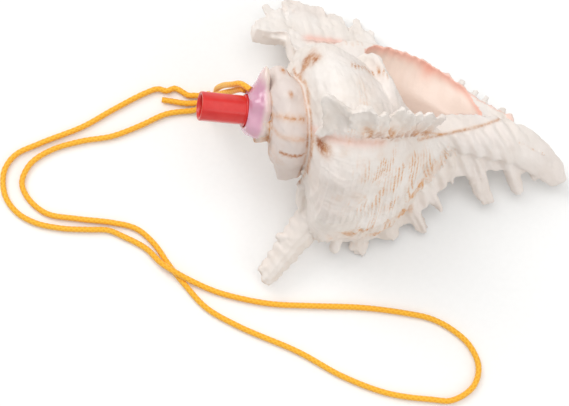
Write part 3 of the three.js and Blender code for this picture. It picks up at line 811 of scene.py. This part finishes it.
def edge_line(points, spacing, smooth):
    """A growing edge as a closed line of points, rounded where smooth says so."""
    if not smooth:
        return [Vector((*p, 0)) for p in (*points, points[0])]
    outer = through([(*p, 0) for p in points[1:-1]], spacing)
    return [Vector((*points[0], 0)), *outer, Vector((*points[-1], 0)), Vector((*points[0], 0))]


def coil(name, edge, values):
    """The spiral solid that a growing edge makes."""
    guide = guide_of(name + "_edge", edge)
    mesh = made_by(WHORL, name, {"Growing edge": guide, **values})
    bpy.data.objects.remove(guide)
    return mesh


EDGE = edge_line(GROWING_EDGE, 2.0, True)
EDGE_ALONG = np.array([p.x for p in EDGE[1:-2]])
EDGE_OUT = np.array([p.y for p in EDGE[1:-2]])


def edge_radius(edge):
    """How far out the plain whorl is at a place on the growing edge, for a lip-sized whorl."""
    return np.interp(edge, EDGE_ALONG, EDGE_OUT)


def shoulder_radius(edge):
    """The same, but never less than on the shoulder, where fronds and ridges stand."""
    return edge_radius(np.maximum(edge, 5))


def angle_at(turn):
    return np.radians(LIP_ANGLE - 360 * turn)


def frond_crowd(edge, turn):
    """How near a place on a ridge is to one of its fronds, from 0 to 1."""
    near = np.zeros(len(edge))
    for foot_along, _, _, _, width, *_ in FRONDS.get(turn, []):
        at = foot_along / TURN_GROWTH ** turn - SHOULDER_ALONG
        near = np.maximum(near, band(edge, at, 0.36 * width / TURN_GROWTH ** turn))
    return near


def ridge_height(turn, edge):
    """How high the old lips stand over the plain whorl, as a share of its radius."""
    height = np.zeros(len(turn))
    for at, rise, first, last, behind, front in VARICES:
        scale = TURN_GROWTH ** at
        reach = (turn - at) * math.tau * shoulder_radius(edge) * scale
        slope = band(reach, 0, np.where(reach < 0, behind, front))
        fade = smooth_step(edge, first - 6, first + 4) * (1 - smooth_step(edge, last - 14, last + 2))
        height = np.maximum(height, rise * slope * fade)
        if at in FRONDS:
            narrow = band(reach, 0, np.where(reach < 0, 0.5 * behind, 1.6 * front))
            height += 0.07 * fade * narrow * (frond_crowd(edge, at) - 0.6)
    return height


def lip_spread(turn, edge):
    """How much further out the lip stands than the plain whorl behind it, in mm, with a crinkled edge."""
    places, reach = zip(*LIP_SPREAD)
    crinkle = 0.5 * np.cos(math.tau * edge / 6.4 + 1.4 * np.sin(edge / 8))
    return (np.interp(edge, places, reach) + crinkle) * smooth_step(turn, -0.07, -0.002)


def near_spread(turn, edge):
    """How much further out the near ridge sweeps toward the canal, in mm."""
    places, reach = zip(*NEAR_SPREAD)
    rise = smooth_step(turn, NEAR_TURN - 0.1, NEAR_TURN)
    fall = 1 - smooth_step(turn, NEAR_TURN, NEAR_TURN + 0.03)
    return np.interp(edge, places, reach) * (rise * fall)


def knob_height(turn, edge):
    """Low knobs on the shoulder between the ridges, two to each space."""
    height = np.zeros(len(turn))
    for at in (-0.11, -0.21, -0.42, -0.51, -0.72, -0.83, -1.05, -1.17):
        swell = np.exp(-(((turn - at) / 0.028) ** 2) - (((edge - 12) / 13) ** 2))
        height = np.maximum(height, 0.05 * swell)
    return height


def body_whorls():
    """The coil with its ridges, its knobs and its spread lip."""
    mesh = coil("whorls", EDGE, {"Rows": 700, "Columns": 170})
    points = coordinates(mesh)
    turn, edge = stored(mesh, "turn"), stored(mesh, "edge")
    radius = np.hypot(points[:, 1], points[:, 2])
    plain_radius = edge_radius(edge) * TURN_GROWTH ** turn
    outside = smooth_step(radius, 0.5 * plain_radius, 0.9 * plain_radius)
    swell = 1 + outside * (ridge_height(turn, edge) + knob_height(turn, edge))
    spread = outside * (lip_spread(turn, edge) + near_spread(turn, edge))
    points[:, 1:] *= (swell + spread / np.maximum(radius, 1))[:, None]
    set_coordinates(mesh, points)
    return mesh


def blade(foot, angle, length, widths, thick, lean_foot, lean_tip, back, seed, twig=False):
    """One frond: a fluted scoop, hollow on the side it grew toward, with a ragged rim and a notched tip."""
    rng = np.random.default_rng(seed)
    rings, around = max(14, round(length / 1.4)), 32
    share = np.linspace(0, 1, rings)
    bend = np.radians(lean_foot + (lean_tip - lean_foot) * share)
    step = length / (rings - 1)
    side = np.concatenate(([0], np.cumsum(np.sin(bend[1:]) * step)))
    rise = np.concatenate(([0], np.cumsum(np.cos(bend[1:]) * step)))
    tip_length = min(0.3, 2.4 / length)
    blunt = np.sqrt(np.clip(1 - np.clip((share - 1 + tip_length) / tip_length, 0, 1) ** 2.6, 0.0004, 1))
    flare = 1 + (0.1 if twig else 0.35) * np.exp(-share / 0.13)
    theta = np.linspace(0, math.tau, around, endpoint=False)
    over, under = np.cos(theta)[None, :], np.sin(theta)[None, :]
    # Teeth on the rim, wrinkles along the frond and scales across it, about as far apart as these say in mm.
    teeth, wrinkle_gap, scale_gap = 0 if twig else 0.1, 3.4, 3.1
    count = length / rng.uniform(5.5, 7.5)
    saw = [np.abs(((share * count + p) % 1) * 2 - 1) ** 1.5 for p in rng.uniform(0, 1, 2)]
    ragged = np.where(over > 0, saw[0][:, None], saw[1][:, None])
    plain = (widths[0] + (widths[1] - widths[0]) * share ** 1.2) / 2 * flare
    rim = 1 - teeth + 2 * teeth * ragged * smooth_step(share, 0.2, 0.5)[:, None]
    half_wide = (plain * blunt)[:, None] * rim
    half_thick = (np.maximum(1.25, thick / 2 * (1 - 0.62 * share)) * blunt)[:, None]
    across = half_wide * over
    wrinkle = 1 + 0.2 * np.cos(across * (math.tau / wrinkle_gap) + rng.uniform(0, 6))
    scales = 1 + 0.12 * np.sin(share * length * math.tau / scale_gap + rng.uniform(0, 6))[:, None]
    scoop = 0.3 * plain[:, None] * smooth_step(share, 0.06, 0.4)[:, None] * (2 * over ** 2 - 1)
    deep = half_thick * under * wrinkle * scales + scoop
    wave = 0.05 * widths[0] * np.sin(share * rng.uniform(3, 6) + rng.uniform(0, 6)) * share
    notch = 0.14 * widths[1] * np.cos(over * 7.5 + rng.uniform(0, 6)) * smooth_step(share, 0.75, 1)[:, None]
    side_at = side[:, None] + (across + wave[:, None]) * np.cos(bend)[:, None] + notch * np.sin(bend)[:, None]
    rise_at = rise[:, None] - (across + wave[:, None]) * np.sin(bend)[:, None] + notch * np.cos(bend)[:, None]
    outward = np.array((0, math.sin(angle), math.cos(angle)))
    tangent = np.array((0, math.cos(angle), -math.sin(angle)))
    rising = outward * math.cos(math.radians(back)) + tangent * math.sin(math.radians(back))
    sideways = np.array((-1.0, 0, 0))
    depth = np.cross(rising, sideways)
    points = (
        np.asarray(foot)[None, None, :]
        + side_at[..., None] * sideways
        + rise_at[..., None] * rising
        + deep[..., None] * depth
    ).reshape(-1, 3)
    spine = np.asarray(foot)[None, :] + side[:, None] * sideways + rise[:, None] * rising
    hollow = (np.clip(under, 0, 1) * np.ones((rings, 1))).ravel()
    return points, tube_faces(rings, around), np.repeat(share, around), hollow, spine, bend


def place_on(along, out, angle):
    return np.array((along, out * math.sin(angle), out * math.cos(angle)))


def frond(angle, shape, seed):
    """A frond with its twigs, as a list of (points, faces, share of the frond's length, hollow side)."""
    foot_along, foot_out, tip_along, tip_out, width, tip_width, thick, curl, back, twigs = shape
    length = math.hypot(tip_along - foot_along, tip_out - foot_out)
    lean = math.degrees(math.atan2(foot_along - tip_along, tip_out - foot_out))
    foot = place_on(foot_along, foot_out, angle)
    points, faces, share, hollow, spine, bend = blade(
        foot, angle, length, (width, tip_width), thick, lean - curl / 2, lean + curl / 2, back, seed,
    )
    made = [(points, faces, share, hollow)]
    for number, (place, side, twig_length, twig_away) in enumerate(twigs):
        at = round(place * (len(spine) - 1))
        twig_lean = math.degrees(bend[at]) + side * twig_away
        reach = (width + (tip_width - width) * place) / 2
        made.append(blade(
            spine[at], angle, twig_length + reach * 0.8, (min(9, width * 0.5), 4), thick * 0.7,
            twig_lean, twig_lean, back, seed * 17 + number, True,
        )[:4])
    return made


def web_plate(stations, angle, seed):
    """The plate between fronds: fluted the way they grow, wavy, and scalloped at its edge."""
    rng = np.random.default_rng(seed)
    line = np.array(through(stations, 1.0))
    run = np.concatenate(([0], np.cumsum(np.hypot(*np.diff(line[:, [0, 2]], axis=0).T))))[:, None]
    share = np.linspace(0, 1, 24)[None, :]
    along = line[:, 0:1] * np.ones_like(share)
    scallops = 1.6 * np.abs(np.sin(math.pi * run / 8 + rng.uniform(0, 6)))
    out = line[:, 1:2] + (line[:, 2:3] + scallops - line[:, 1:2]) * share
    half = (WEB_FOOT + (WEB_EDGE - WEB_FOOT) * share ** 0.7) * np.sqrt(np.clip(1.03 - share ** 8, 0.03, 1))
    broad_ribs = 0.7 * np.cos(math.tau * run / 9.7 + 2.6 * np.sin(run / 9))
    fine_ribs = 0.35 * np.cos(math.tau * run / 4.3 + 3 * share)
    half = half * (1 + 0.2 * (broad_ribs + fine_ribs) * share ** 0.5)
    wave = (1 + 1.5 * np.sin(math.tau * run / 23 + rng.uniform(0, 6))) * share ** 2
    tangent = np.array((0, math.cos(angle), -math.sin(angle)))
    middle = np.stack((along, out * math.sin(angle), out * math.cos(angle)), -1)
    front = middle + (wave + half)[..., None] * tangent
    behind = middle + (wave - half)[..., None] * tangent
    points = np.concatenate((front, behind[:, ::-1]), axis=1)
    shares = np.concatenate((share, share[:, ::-1]), axis=1) * np.ones((len(line), 1))
    faces = tube_faces(len(line), points.shape[1])
    return points.reshape(-1, 3), faces, shares.ravel(), np.zeros(shares.size)


def all_fronds():
    """Both webs and every frond. The last number given to each one sets its own random draws."""
    made = [
        web_plate(LIP_WEB, float(angle_at(LIP_TURN)), 71),
        web_plate(NEAR_WEB, float(angle_at(NEAR_TURN)), 72),
    ]
    for turn, shapes in FRONDS.items():
        for number, shape in enumerate(shapes):
            made += frond(float(angle_at(turn)), shape, 100 + number + round(-turn * 1000))
    for number, shape in enumerate(CANAL_FRONDS):
        made += frond(float(angle_at(NEAR_TURN)), shape, 900 + number)
    return made


def canal_tube(offset=(0, 0), radius=None):
    """The canal's solid, or a round tube beside its middle line, sized by the canal's own half height."""
    line = through([station[:3] for station in CANAL], 2.0)
    stations = np.array(CANAL, dtype=float)
    points = []
    around = 36
    for p in line:
        half = np.interp(p.x, stations[:, 0], stations[:, 4])
        wide = np.interp(p.x, stations[:, 0], stations[:, 3]) if radius is None else radius * half
        high = half if radius is None else radius * half
        past = max(0.0, np.interp(p.x, stations[:, 0], range(len(CANAL))) - CANAL_STRAIGHT)
        lean = math.radians(CANAL_BEND * past) if radius is None else 0
        for j in range(around):
            turn = math.tau * j / around
            points.append((
                p.x + wide * math.cos(turn) * math.sin(lean),
                p.y + offset[0] * half + wide * math.cos(turn) * math.cos(lean),
                p.z + offset[1] * half + high * math.sin(turn),
            ))
    return points, tube_faces(len(line), around)


def fused_shell():
    """Whorls, ridges, fronds, columella and canal as one skin, and what each place on it belongs to."""
    whorls = body_whorls()
    plain = np.zeros(len(whorls.vertices))
    sources = [(coordinates(whorls), stored(whorls, "turn"), stored(whorls, "edge"), plain, plain)]
    work = bmesh.new()
    work.from_mesh(whorls)
    for points, faces, share, hollow in all_fronds():
        work.from_mesh(mesh_of("frond", points, faces))
        none = np.full(len(points), np.nan)
        sources.append((points, none, none, 0.05 + share, hollow))
    points, faces = canal_tube()
    work.from_mesh(mesh_of("canal", points, faces))
    none, plain = np.full(len(points), np.nan), np.zeros(len(points))
    sources.append((np.array(points), none, none, plain + 0.11, plain))
    joined = bpy.data.meshes.new("joined")
    work.to_mesh(joined)
    work.free()
    body = object_of("fused", joined)
    remesh = body.modifiers.new("skin", "REMESH")
    remesh.mode = "VOXEL"
    remesh.voxel_size = VOXEL
    remesh.use_smooth_shade = True
    blend = body.modifiers.new("blend", "SMOOTH")
    blend.factor = 0.5
    blend.iterations = 5
    return finished(body, "fused"), [np.concatenate(columns) for columns in zip(*sources)]


def nearest(sources, points):
    """For each point, the values of the nearest source place."""
    places, turn, edge, share, hollow = sources
    tree = kdtree.KDTree(len(places))
    for i, place in enumerate(places):
        tree.insert(place, i)
    tree.balance()
    found = np.array([tree.find(point)[1] for point in points])
    return turn[found], share[found], hollow[found]


def whorl_place(points, near_turn):
    """Exact turn and place on the growing edge, where the nearest whorl place tells which turn it is."""
    angle = np.degrees(np.arctan2(points[:, 1], points[:, 2]))
    turn = (LIP_ANGLE - angle) / 360
    turn += np.round(near_turn - turn)
    scale = TURN_GROWTH ** turn
    return turn, points[:, 0] / scale - SHOULDER_ALONG, scale


def beside_sulcus(points):
    """How far in mm a place on the canal is from the line that runs down it, on the lip's side of it."""
    along = (120, 139.6, 147.5, 153.8, 164.3, 173.5, 230)
    return points[:, 1] - np.interp(points[:, 0], along, (-8, -2.5, 0.1, 1.9, 5.4, 9.4, 40))


def relief(points, turn, edge, scale, share):
    """Fine relief of the outside in mm: spiral cords, growth lines and worn hollows."""
    on_whorl = 1 - smooth_step(share, 0.02, 0.12)
    wavy = edge + 1.1 * wander(points, 24, 5)
    wide = (0.5 + 0.5 * np.cos(math.tau * wavy / 5.6)) ** 2
    narrow = (0.5 + 0.5 * np.cos(math.tau * wavy / 2.8 + 1.0)) ** 2
    worn = smooth_step(wander(points, 18, 6), -0.6, 0.7)
    near_ridge = 1 + 1.3 * smooth_step(turn, -0.57, -0.4) * (1 - smooth_step(turn, -0.31, -0.28))
    spiral = (0.36 * wide + 0.26 * narrow) * (0.2 + 0.8 * worn) * near_ridge
    grown = turn * math.tau * 62 + 1.6 * wander(points, 11, 7)
    lines = np.abs((grown / 3.1) % 1 - 0.5) * 0.4 * near_ridge
    lines += 0.2 * (np.abs((grown / 11.7) % 1 - 0.5) < 0.05)
    body = np.clip(scale, 0.3, 1) ** 0.5
    plain = smooth_step(turn, -1.15, -0.95) * 0.75 + 0.25
    rough = 0.14 * wander(points, 2.2, 10) + 0.26 * wander(points, 4.5, 8) + 0.4 * wander(points, 12, 9)
    beside = beside_sulcus(points)
    on_canal = smooth_step(points[:, 0], 126, 136) * (1 - smooth_step(points[:, 0], 182, 200))
    aslant = (points[:, 0] + 0.8 * points[:, 1]) / 9.5
    folds = 0.9 * np.cos(math.tau * aslant + 0.6 * wander(points, 20, 11))
    folds = on_canal * (1 - smooth_step(beside, -4, 0)) * folds
    rim = 0.9 * on_canal * band(beside, 1.2, 1.2) * (points[:, 2] > 0)
    return on_whorl * body * plain * (spiral + lines) + rough + folds + rim


def colour_marks(points, turn, edge, share, hollow, inner):
    """Where the shell is stained tan or brown, pink or beige, each from 0 to 1, with tan and brown also
    standing for painted shade in the hollows of the top ridge's fronds.
    """
    patch = smooth_step(wander(points, 30, 21), 0.0, 0.9)
    fleck = smooth_step(wander(points, 6, 22), 0.0, 1.0)
    streak = smooth_step(np.sin(math.tau * edge / 2.8 + 3 * wander(points, 18, 23)), 0.1, 0.9)
    dash = smooth_step(wander(points * np.array((1, 0.3, 0.3)), 5, 26), 0.0, 0.8)
    outside = 1 - inner
    on_whorl = outside * (1 - smooth_step(share, 0.02, 0.1))
    stain_and_shade = on_whorl * (0.35 * patch * streak * dash + 0.15 * fleck * patch)
    body = smooth_step(edge, 26, 50) * smooth_step(turn, -0.6, -0.54) * (1 - smooth_step(turn, -0.36, -0.31))
    stain_and_shade += on_whorl * 0.75 * body * streak * dash
    stain_and_shade += on_whorl * 0.4 * body * streak * smooth_step(wander(points, 16, 27), 0.2, 0.9)
    corner = band(turn, -0.36, 0.035) * band(edge, 92, 9)
    stain_and_shade += on_whorl * 0.9 * corner * (0.4 + 0.6 * fleck)
    at_near = (np.abs(turn - NEAR_TURN) < 0.06) * (points[:, 0] < 132) * smooth_step(edge, 14, 30)
    frill = at_near * (1 - smooth_step(share, 0.4, 0.8))
    stain_and_shade += outside * frill * (0.1 + 0.6 * fleck)
    brown = np.zeros(len(points))
    # The hollow side of the top ridge's fronds, tan and brown as painted shade, darkest near their foot, and
    # the line where that ridge was once a lip.
    top = outside * band(turn, TOP_TURN - 0.004, 0.05) * (share > 0.02) * smooth_step(edge, 20, 34)
    stain_and_shade += top * (0.35 + 0.5 * fleck) * smooth_step(hollow, 0.1, 0.6) * (1 - smooth_step(share, 0.25, 0.7))
    brown += top * 0.5 * smooth_step(hollow, 0.5, 1.0) * (1 - smooth_step(share, 0.1, 0.4))
    front = band(turn, TOP_TURN + 0.018, 0.005) * smooth_step(edge, 0, 12) * (points[:, 0] < 150)
    brown += on_whorl * 0.25 * front * fleck
    stain_and_shade += on_whorl * front * (0.15 + 0.25 * fleck + 0.45 * smooth_step(points[:, 0], 112, 124))
    between = band(turn, TOP_TURN + 0.002, 0.014) * smooth_step(edge, 26, 36)
    between *= 1 - frond_crowd(edge, TOP_TURN)
    between *= 0.1 + 1.2 * smooth_step(wander(points, 8, 28), 0.1, 0.7)
    stain_and_shade += on_whorl * 1.1 * between
    brown += on_whorl * 0.12 * between
    spots = np.zeros(len(points))
    for at, place, size in SPOTS:
        near = ((turn - at) * math.tau * 44 / size) ** 2 + ((edge - place) / size) ** 2
        spots = np.maximum(spots, np.exp(-near))
    brown += on_whorl * spots * (0.5 + 0.7 * fleck)
    stain_and_shade += on_whorl * spots
    suture = band(edge, 41, 1.3) * (turn < -0.98)
    suture = np.maximum(suture, band(edge, -6.6, 0.55) * (turn < -0.3))
    brown += on_whorl * suture * (0.1 + 0.4 * fleck)
    stain_and_shade += on_whorl * 0.7 * suture
    remnant = outside * smooth_step(-turn, 1.93, 2.0)
    stain_and_shade += remnant * (0.35 + 0.5 * fleck)
    brown += remnant * 0.3 * fleck
    scallop = 0.004 * np.abs(np.sin(math.pi * edge / 6.2))
    lines = 0.5 * band(turn, -1.62, 0.003) + band(turn, -1.487 + scallop, 0.0045)
    brown += on_whorl * 0.75 * lines * (edge > 3) * (edge < 38)
    stain_and_shade += on_whorl * lines * (edge > 3) * (edge < 38)
    stain_and_shade += on_whorl * 0.5 * (band(turn, -1.62, 0.014) + band(turn, -1.55, 0.01)) * (edge < 38)
    # A row of short strokes on the wall behind the mouth, which breaks up into thin lines toward the canal.
    angle = np.degrees(np.arctan2(points[:, 1], points[:, 2]))
    off = angle - np.interp(points[:, 0], (66, 72, 81, 88, 91.5, 97.5, 110), (44, 45, 53, 52, 44, 29, 31))
    behind_mouth = on_whorl * smooth_step(turn, -0.84, -0.82) * (1 - smooth_step(turn, -0.7, -0.68))
    strokes = smooth_step(np.sin(math.tau * points[:, 0] / 2.3 + 1.5 * wander(points, 7, 29)), -0.1, 0.5)
    row = band(off, 0, 3.4) * smooth_step(points[:, 0], 68, 71) * (1 - smooth_step(points[:, 0], 91, 94))
    thin = band(off + 5 * wander(points, 7, 30), 0, 1.6) + band(off + 6 * wander(points, 9, 31), 7, 1.4)
    thin *= smooth_step(points[:, 0], 91, 94) * (1 - smooth_step(points[:, 0], 110, 114))
    stain_and_shade += behind_mouth * (row * strokes + 0.9 * thin * dash)
    brown += behind_mouth * 0.45 * row * strokes
    far_side = points[:, 1] > 0
    on_canal = outside * (points[:, 2] > 0) * (points[:, 0] > 118) * (points[:, 0] < 177)
    brown += 0.35 * on_canal * band(beside_sulcus(points), 0, 0.5)
    stain_and_shade += 0.7 * on_canal * band(beside_sulcus(points), 0.3, 1.0)
    pink = inner * smooth_step(turn, -0.022, -0.004) * 0.75 * far_side
    blotch = np.linalg.norm(points - np.array((139.9, 37.3, -38.4)), axis=1)
    pink += inner * 0.5 * band(blotch, 0, 5)
    radius = np.hypot(points[:, 1], points[:, 2])
    at_lip = outside * (np.abs(turn + 0.015) < 0.03)
    pink += at_lip * 0.45 * (share < 0.05) * smooth_step(edge, 40, 50) * band(turn, -0.002, 0.008)
    inside_web = smooth_step(points[:, 0], 58, 66) * (1 - smooth_step(points[:, 0], 82, 92))
    pink += at_lip * 0.6 * inside_web * band(radius, 73, 4)
    brown += at_lip * 0.5 * inside_web * band(radius, 70, 0.8)
    pink += on_whorl * 0.4 * band(turn, TOP_TURN + 0.02, 0.012) * (1 - smooth_step(edge, 40, 60))
    beige = outside * smooth_step(-turn, 0.98, 1.1) * (1 - np.clip(share * 4, 0, 1))
    beige += outside * 0.35 * smooth_step(wander(points, 40, 25), 0.1, 0.8)
    return {
        "stain_and_shade": np.clip(stain_and_shade, 0, 1), "brown": np.clip(brown, 0, 1),
        "pink": np.clip(pink, 0, 1), "beige": np.clip(beige, 0, 1), "inner": inner,
    }


def rod(start, end, radius):
    """A plain cylinder on the shell's axis."""
    profile = [(start, 0.0), (start, radius), (end, radius), (end, 0.0)]
    points, faces = around_axis(profile, 96)
    return facing_out(mesh_of("rod", points, faces))


# Marks for the faces that each cut leaves, until the shell gets its own material.
OUTSIDE_MARK = bpy.data.materials.new("outside")
INSIDE_MARK = bpy.data.materials.new("inside")

# The groove in the canal: how far beside its middle line, and its radius, as shares of the half height.
GROOVE_AT, GROOVE_RADIUS = (0.85, -0.1), 0.42

# What the saw takes off the spire, and the pocket for the tube's foot: how far along, and radius.
SAWN_FROM, SAW_REACH = -20, 60
POCKET_DEPTH, POCKET_RADIUS = 7.8, 9.7


def chamber():
    """The room inside the last whorl, with a thin, slightly flared lip."""
    mesh = coil("chamber", edge_line(CHAMBER_EDGE, 2.0, False), {
        "First turn": CHAMBER_DEPTH, "Last turn": 0.03, "Rows": 260, "Columns": 150,
        "Middle along": 34.0, "Middle out": 38.0,
    })
    points = coordinates(mesh)
    turn, edge = stored(mesh, "turn"), stored(mesh, "edge")
    scale = TURN_GROWTH ** turn
    radius = np.hypot(points[:, 1], points[:, 2])
    outer = smooth_step(radius / scale, 0.6 * edge_radius(edge), 0.8 * edge_radius(edge))
    flare = smooth_step(turn, -0.06, 0.0) * outer * 3.0
    points[:, 1:] *= (1 + (flare + outer * lip_spread(turn, edge)) / np.maximum(radius, 1))[:, None]
    set_coordinates(mesh, points)
    return facing_out(mesh)


def shell_mesh():
    """The shell: fused, given its relief, hollowed, grooved and sawn, then thinned and marked with colour."""
    fused, sources = fused_shell()
    points = coordinates(fused)
    near_turn, share, _ = nearest(sources, points)
    turn, edge, scale = whorl_place(points, np.nan_to_num(near_turn, nan=NEAR_TURN))
    points += normals(fused) * relief(points, turn, edge, scale, share)[:, None]
    set_coordinates(fused, points)
    made = all_of(fused, OUTSIDE_MARK)
    made = cut(made, all_of(chamber(), INSIDE_MARK), "shell_hollow")
    groove = facing_out(mesh_of("groove", *canal_tube(GROOVE_AT, GROOVE_RADIUS)))
    made = cut(made, all_of(groove, INSIDE_MARK), "shell_grooved")
    made = cut(made, all_of(rod(SAWN_FROM, CUT_ALONG, SAW_REACH), OUTSIDE_MARK), "shell_sawn")
    pocket = rod(CUT_ALONG - 1, CUT_ALONG + POCKET_DEPTH, POCKET_RADIUS)
    made = cut(made, all_of(pocket, INSIDE_MARK), "shell_pocket")
    body = object_of("shell_full", made)
    triangles = sum(len(face.vertices) - 2 for face in made.polygons)
    thin = body.modifiers.new("thin", "DECIMATE")
    thin.ratio = min(1.0, SHELL_TRIANGLES / triangles)
    made = finished(body, "murex_shell")
    points = coordinates(made)
    near_turn, share, hollow = nearest(sources, points)
    turn, edge, scale = whorl_place(points, np.nan_to_num(near_turn, nan=NEAR_TURN))
    inner = np.zeros(len(points))
    names = [material.name for material in made.materials]
    for face in made.polygons:
        if names[face.material_index] == "inside":
            inner[list(face.vertices)] = 1
    for name, values in colour_marks(points, turn, edge, share, hollow, inner).items():
        store(made, name, values)
    all_of(made, SHELL).shade_smooth()
    to_part(made)
    return made


shell = object_of("murex_shell", shell_mesh())
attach(shell, "root")
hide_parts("shell")


# ---------------------------------------------------------------- mouthpiece and putty

# The tube's profile as (along, out): its rounded rim, its outside with the flange, and its bore.
TUBE_PROFILE = [
    (-11.4, 6.9), (-12.0, 7.5), (-12.0, 8.3), (-11.5, 8.75), (-10.6, 8.8),
    (14.3, 8.75), (14.5, 9.4), (14.8, 9.6), (16.7, 9.6), (17.0, 9.4), (17.1, 8.8),
    (31.0, 8.8), (31.0, 6.6), (-10.6, 6.6),
]


def tube_mesh():
    """A moulded tube with eight broad flats down its length, a rounded rim and a small flange."""
    line = []
    for (a, r), (b, q) in zip(TUBE_PROFILE, [*TUBE_PROFILE[1:], TUBE_PROFILE[0]]):
        steps = max(1, round(math.hypot(b - a, q - r) / 3))
        line += [(a + (b - a) * i / steps, r + (q - r) * i / steps) for i in range(steps)]

    def flats(along, out, angle):
        if out < 7.2 or along > 17:
            return 1
        side = math.tau / 8
        offset = (angle + 0.3) % side - side / 2
        flat = math.cos(side / 2) / math.cos(offset)
        share = 0.72 * min(1, max(0, (along + 12) / 3))
        return 1 + (min(1.0, flat * 1.035) - 1) * share

    points, faces = around_axis(line, 160, flats)
    mesh = facing_out(mesh_of("mouthpiece_tube", points, faces))
    mesh.materials.append(PLASTIC)
    mesh.shade_smooth()
    mesh.set_sharp_from_angle(angle=math.radians(28))
    to_part(mesh)
    return mesh


mouthpiece = object_of("mouthpiece_tube", tube_mesh())
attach(mouthpiece, "root")
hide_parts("mouthpiece")


# The putty: its outer profile as (along, out), the radius that it leaves for the tube, and where its peak
# stands: angle in degrees, how far along, height, and how wide it is round the tube and along it.
PUTTY_PROFILE = [
    (15.9, 9.9), (15.4, 10.4), (15.7, 11.6), (16.6, 13.2), (18.0, 14.6), (19.6, 15.6), (21.4, 16.4),
    (22.8, 16.6), (24.2, 17.2), (26.0, 16.8), (28.0, 15.5),
]
PUTTY_BORE = 9.9
PEAK_ANGLE, PEAK_ALONG, PEAK_HEIGHT, PEAK_ROUND, PEAK_LENGTH = 62, 23, 13.5, 0.3, 3.2


def collar_mesh():
    """Putty pressed round the tube's foot, drawn up into a peak, and feathered out over the cut spire."""
    line = [tuple(p[:2]) for p in through([(*p, 0) for p in PUTTY_PROFILE], 0.9)]
    foot = PUTTY_PROFILE[-1][0]
    line += [(foot, r) for r in np.arange(14.5, PUTTY_BORE, -1.5)]
    line += [(along, PUTTY_BORE) for along in (foot, 24.0, 20.0)]
    peak_angle = math.radians(PEAK_ANGLE)

    def pulled(along, out, angle):
        away = (angle - peak_angle + math.pi) % (math.tau) - math.pi
        lump = 0.03 * math.sin(2 * angle + 1) + 0.025 * math.sin(5 * angle)
        lump += 0.015 * math.sin(9 * angle + along / 3)
        rise = PEAK_HEIGHT * band(away, 0, PEAK_ROUND) * band(along, PEAK_ALONG, PEAK_LENGTH)
        share = min(1, max(0, (out - 10.2) / 3))
        return 1 + share * (lump + rise / max(out, 1))

    points, faces = around_axis(line, 180, pulled)
    mesh = facing_out(mesh_of("collar_putty", points, faces))
    places = coordinates(mesh)
    loose = smooth_step(np.hypot(places[:, 1], places[:, 2]), 10.2, 12)
    pressed = 0.55 * wander(places, 11, 31) + 0.25 * wander(places, 5, 32)
    set_coordinates(mesh, places + normals(mesh) * (loose * pressed)[:, None])
    to_part(mesh)
    made = cut(mesh, shell.data.copy(), "putty_collar")
    # The cut leaves crumbs inside the shell's pits. Only the largest piece stays.
    work = bmesh.new()
    work.from_mesh(made)
    pieces = []
    left = set(work.faces)
    while left:
        stack, piece = [left.pop()], []
        while stack:
            face = stack.pop()
            piece.append(face)
            for side in face.edges:
                for other in side.link_faces:
                    if other in left:
                        left.remove(other)
                        stack.append(other)
        pieces.append(piece)
    pieces.sort(key=len)
    bmesh.ops.delete(work, geom=[face for piece in pieces[:-1] for face in piece], context="FACES")
    work.to_mesh(made)
    work.free()
    local = np.array([LIE.inverted() @ (Vector(p) / MM) for p in coordinates(made)])
    out = np.hypot(local[:, 1], local[:, 2])
    thin = 0.8 * smooth_step(local[:, 0], 21.5, 25) + 0.8 * smooth_step(out, 19, 27)
    store(made, "thin", np.clip(thin, 0, 1))
    all_of(made, PUTTY).shade_smooth()
    made.set_sharp_from_angle(angle=math.radians(50))
    return made


collar = object_of("putty_collar", collar_mesh())
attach(collar, "root")
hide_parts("collar")


# ---------------------------------------------------------------- studio

# Half the floor's width, and how low it lies, just under the lowest frond. Both are in m.
FLOOR_HALF, FLOOR_HEIGHT = 3, -0.0004


def floor_mesh():
    corner_signs = ((-1, -1), (1, -1), (1, 1), (-1, 1))
    points = [(x * FLOOR_HALF, y * FLOOR_HALF, FLOOR_HEIGHT) for x, y in corner_signs]
    mesh = mesh_of("floor", points, [(0, 1, 2, 3)])
    mesh.materials.append(paper_floor())
    return mesh


floor = object_of("floor", floor_mesh())


def soft_light(name, at, size, power):
    """A round white lamp that looks at the shell: where it hangs and its width in m, and its power in W."""
    data = bpy.data.lights.new(name, "AREA")
    data.shape = "DISK"
    data.size = size
    data.energy = power
    light = object_of(name, data)
    light.location = at
    light.rotation_euler = (Vector((0, 0, 0.05)) - Vector(at)).to_track_quat("-Z", "Y").to_euler()


soft_light("key", (-0.9, 0.9, 1.5), 1.3, 15)
soft_light("fill", (1.2, -0.9, 1.1), 1.5, 7)
soft_light("top", (0.1, 0.1, 2.0), 1.6, 12)

world = bpy.data.worlds.new("studio")
world.use_nodes = True
world.node_tree.nodes["Background"].inputs["Color"].default_value = linear("#FFFFFF")
world.node_tree.nodes["Background"].inputs["Strength"].default_value = 0.5
bpy.context.scene.world = world
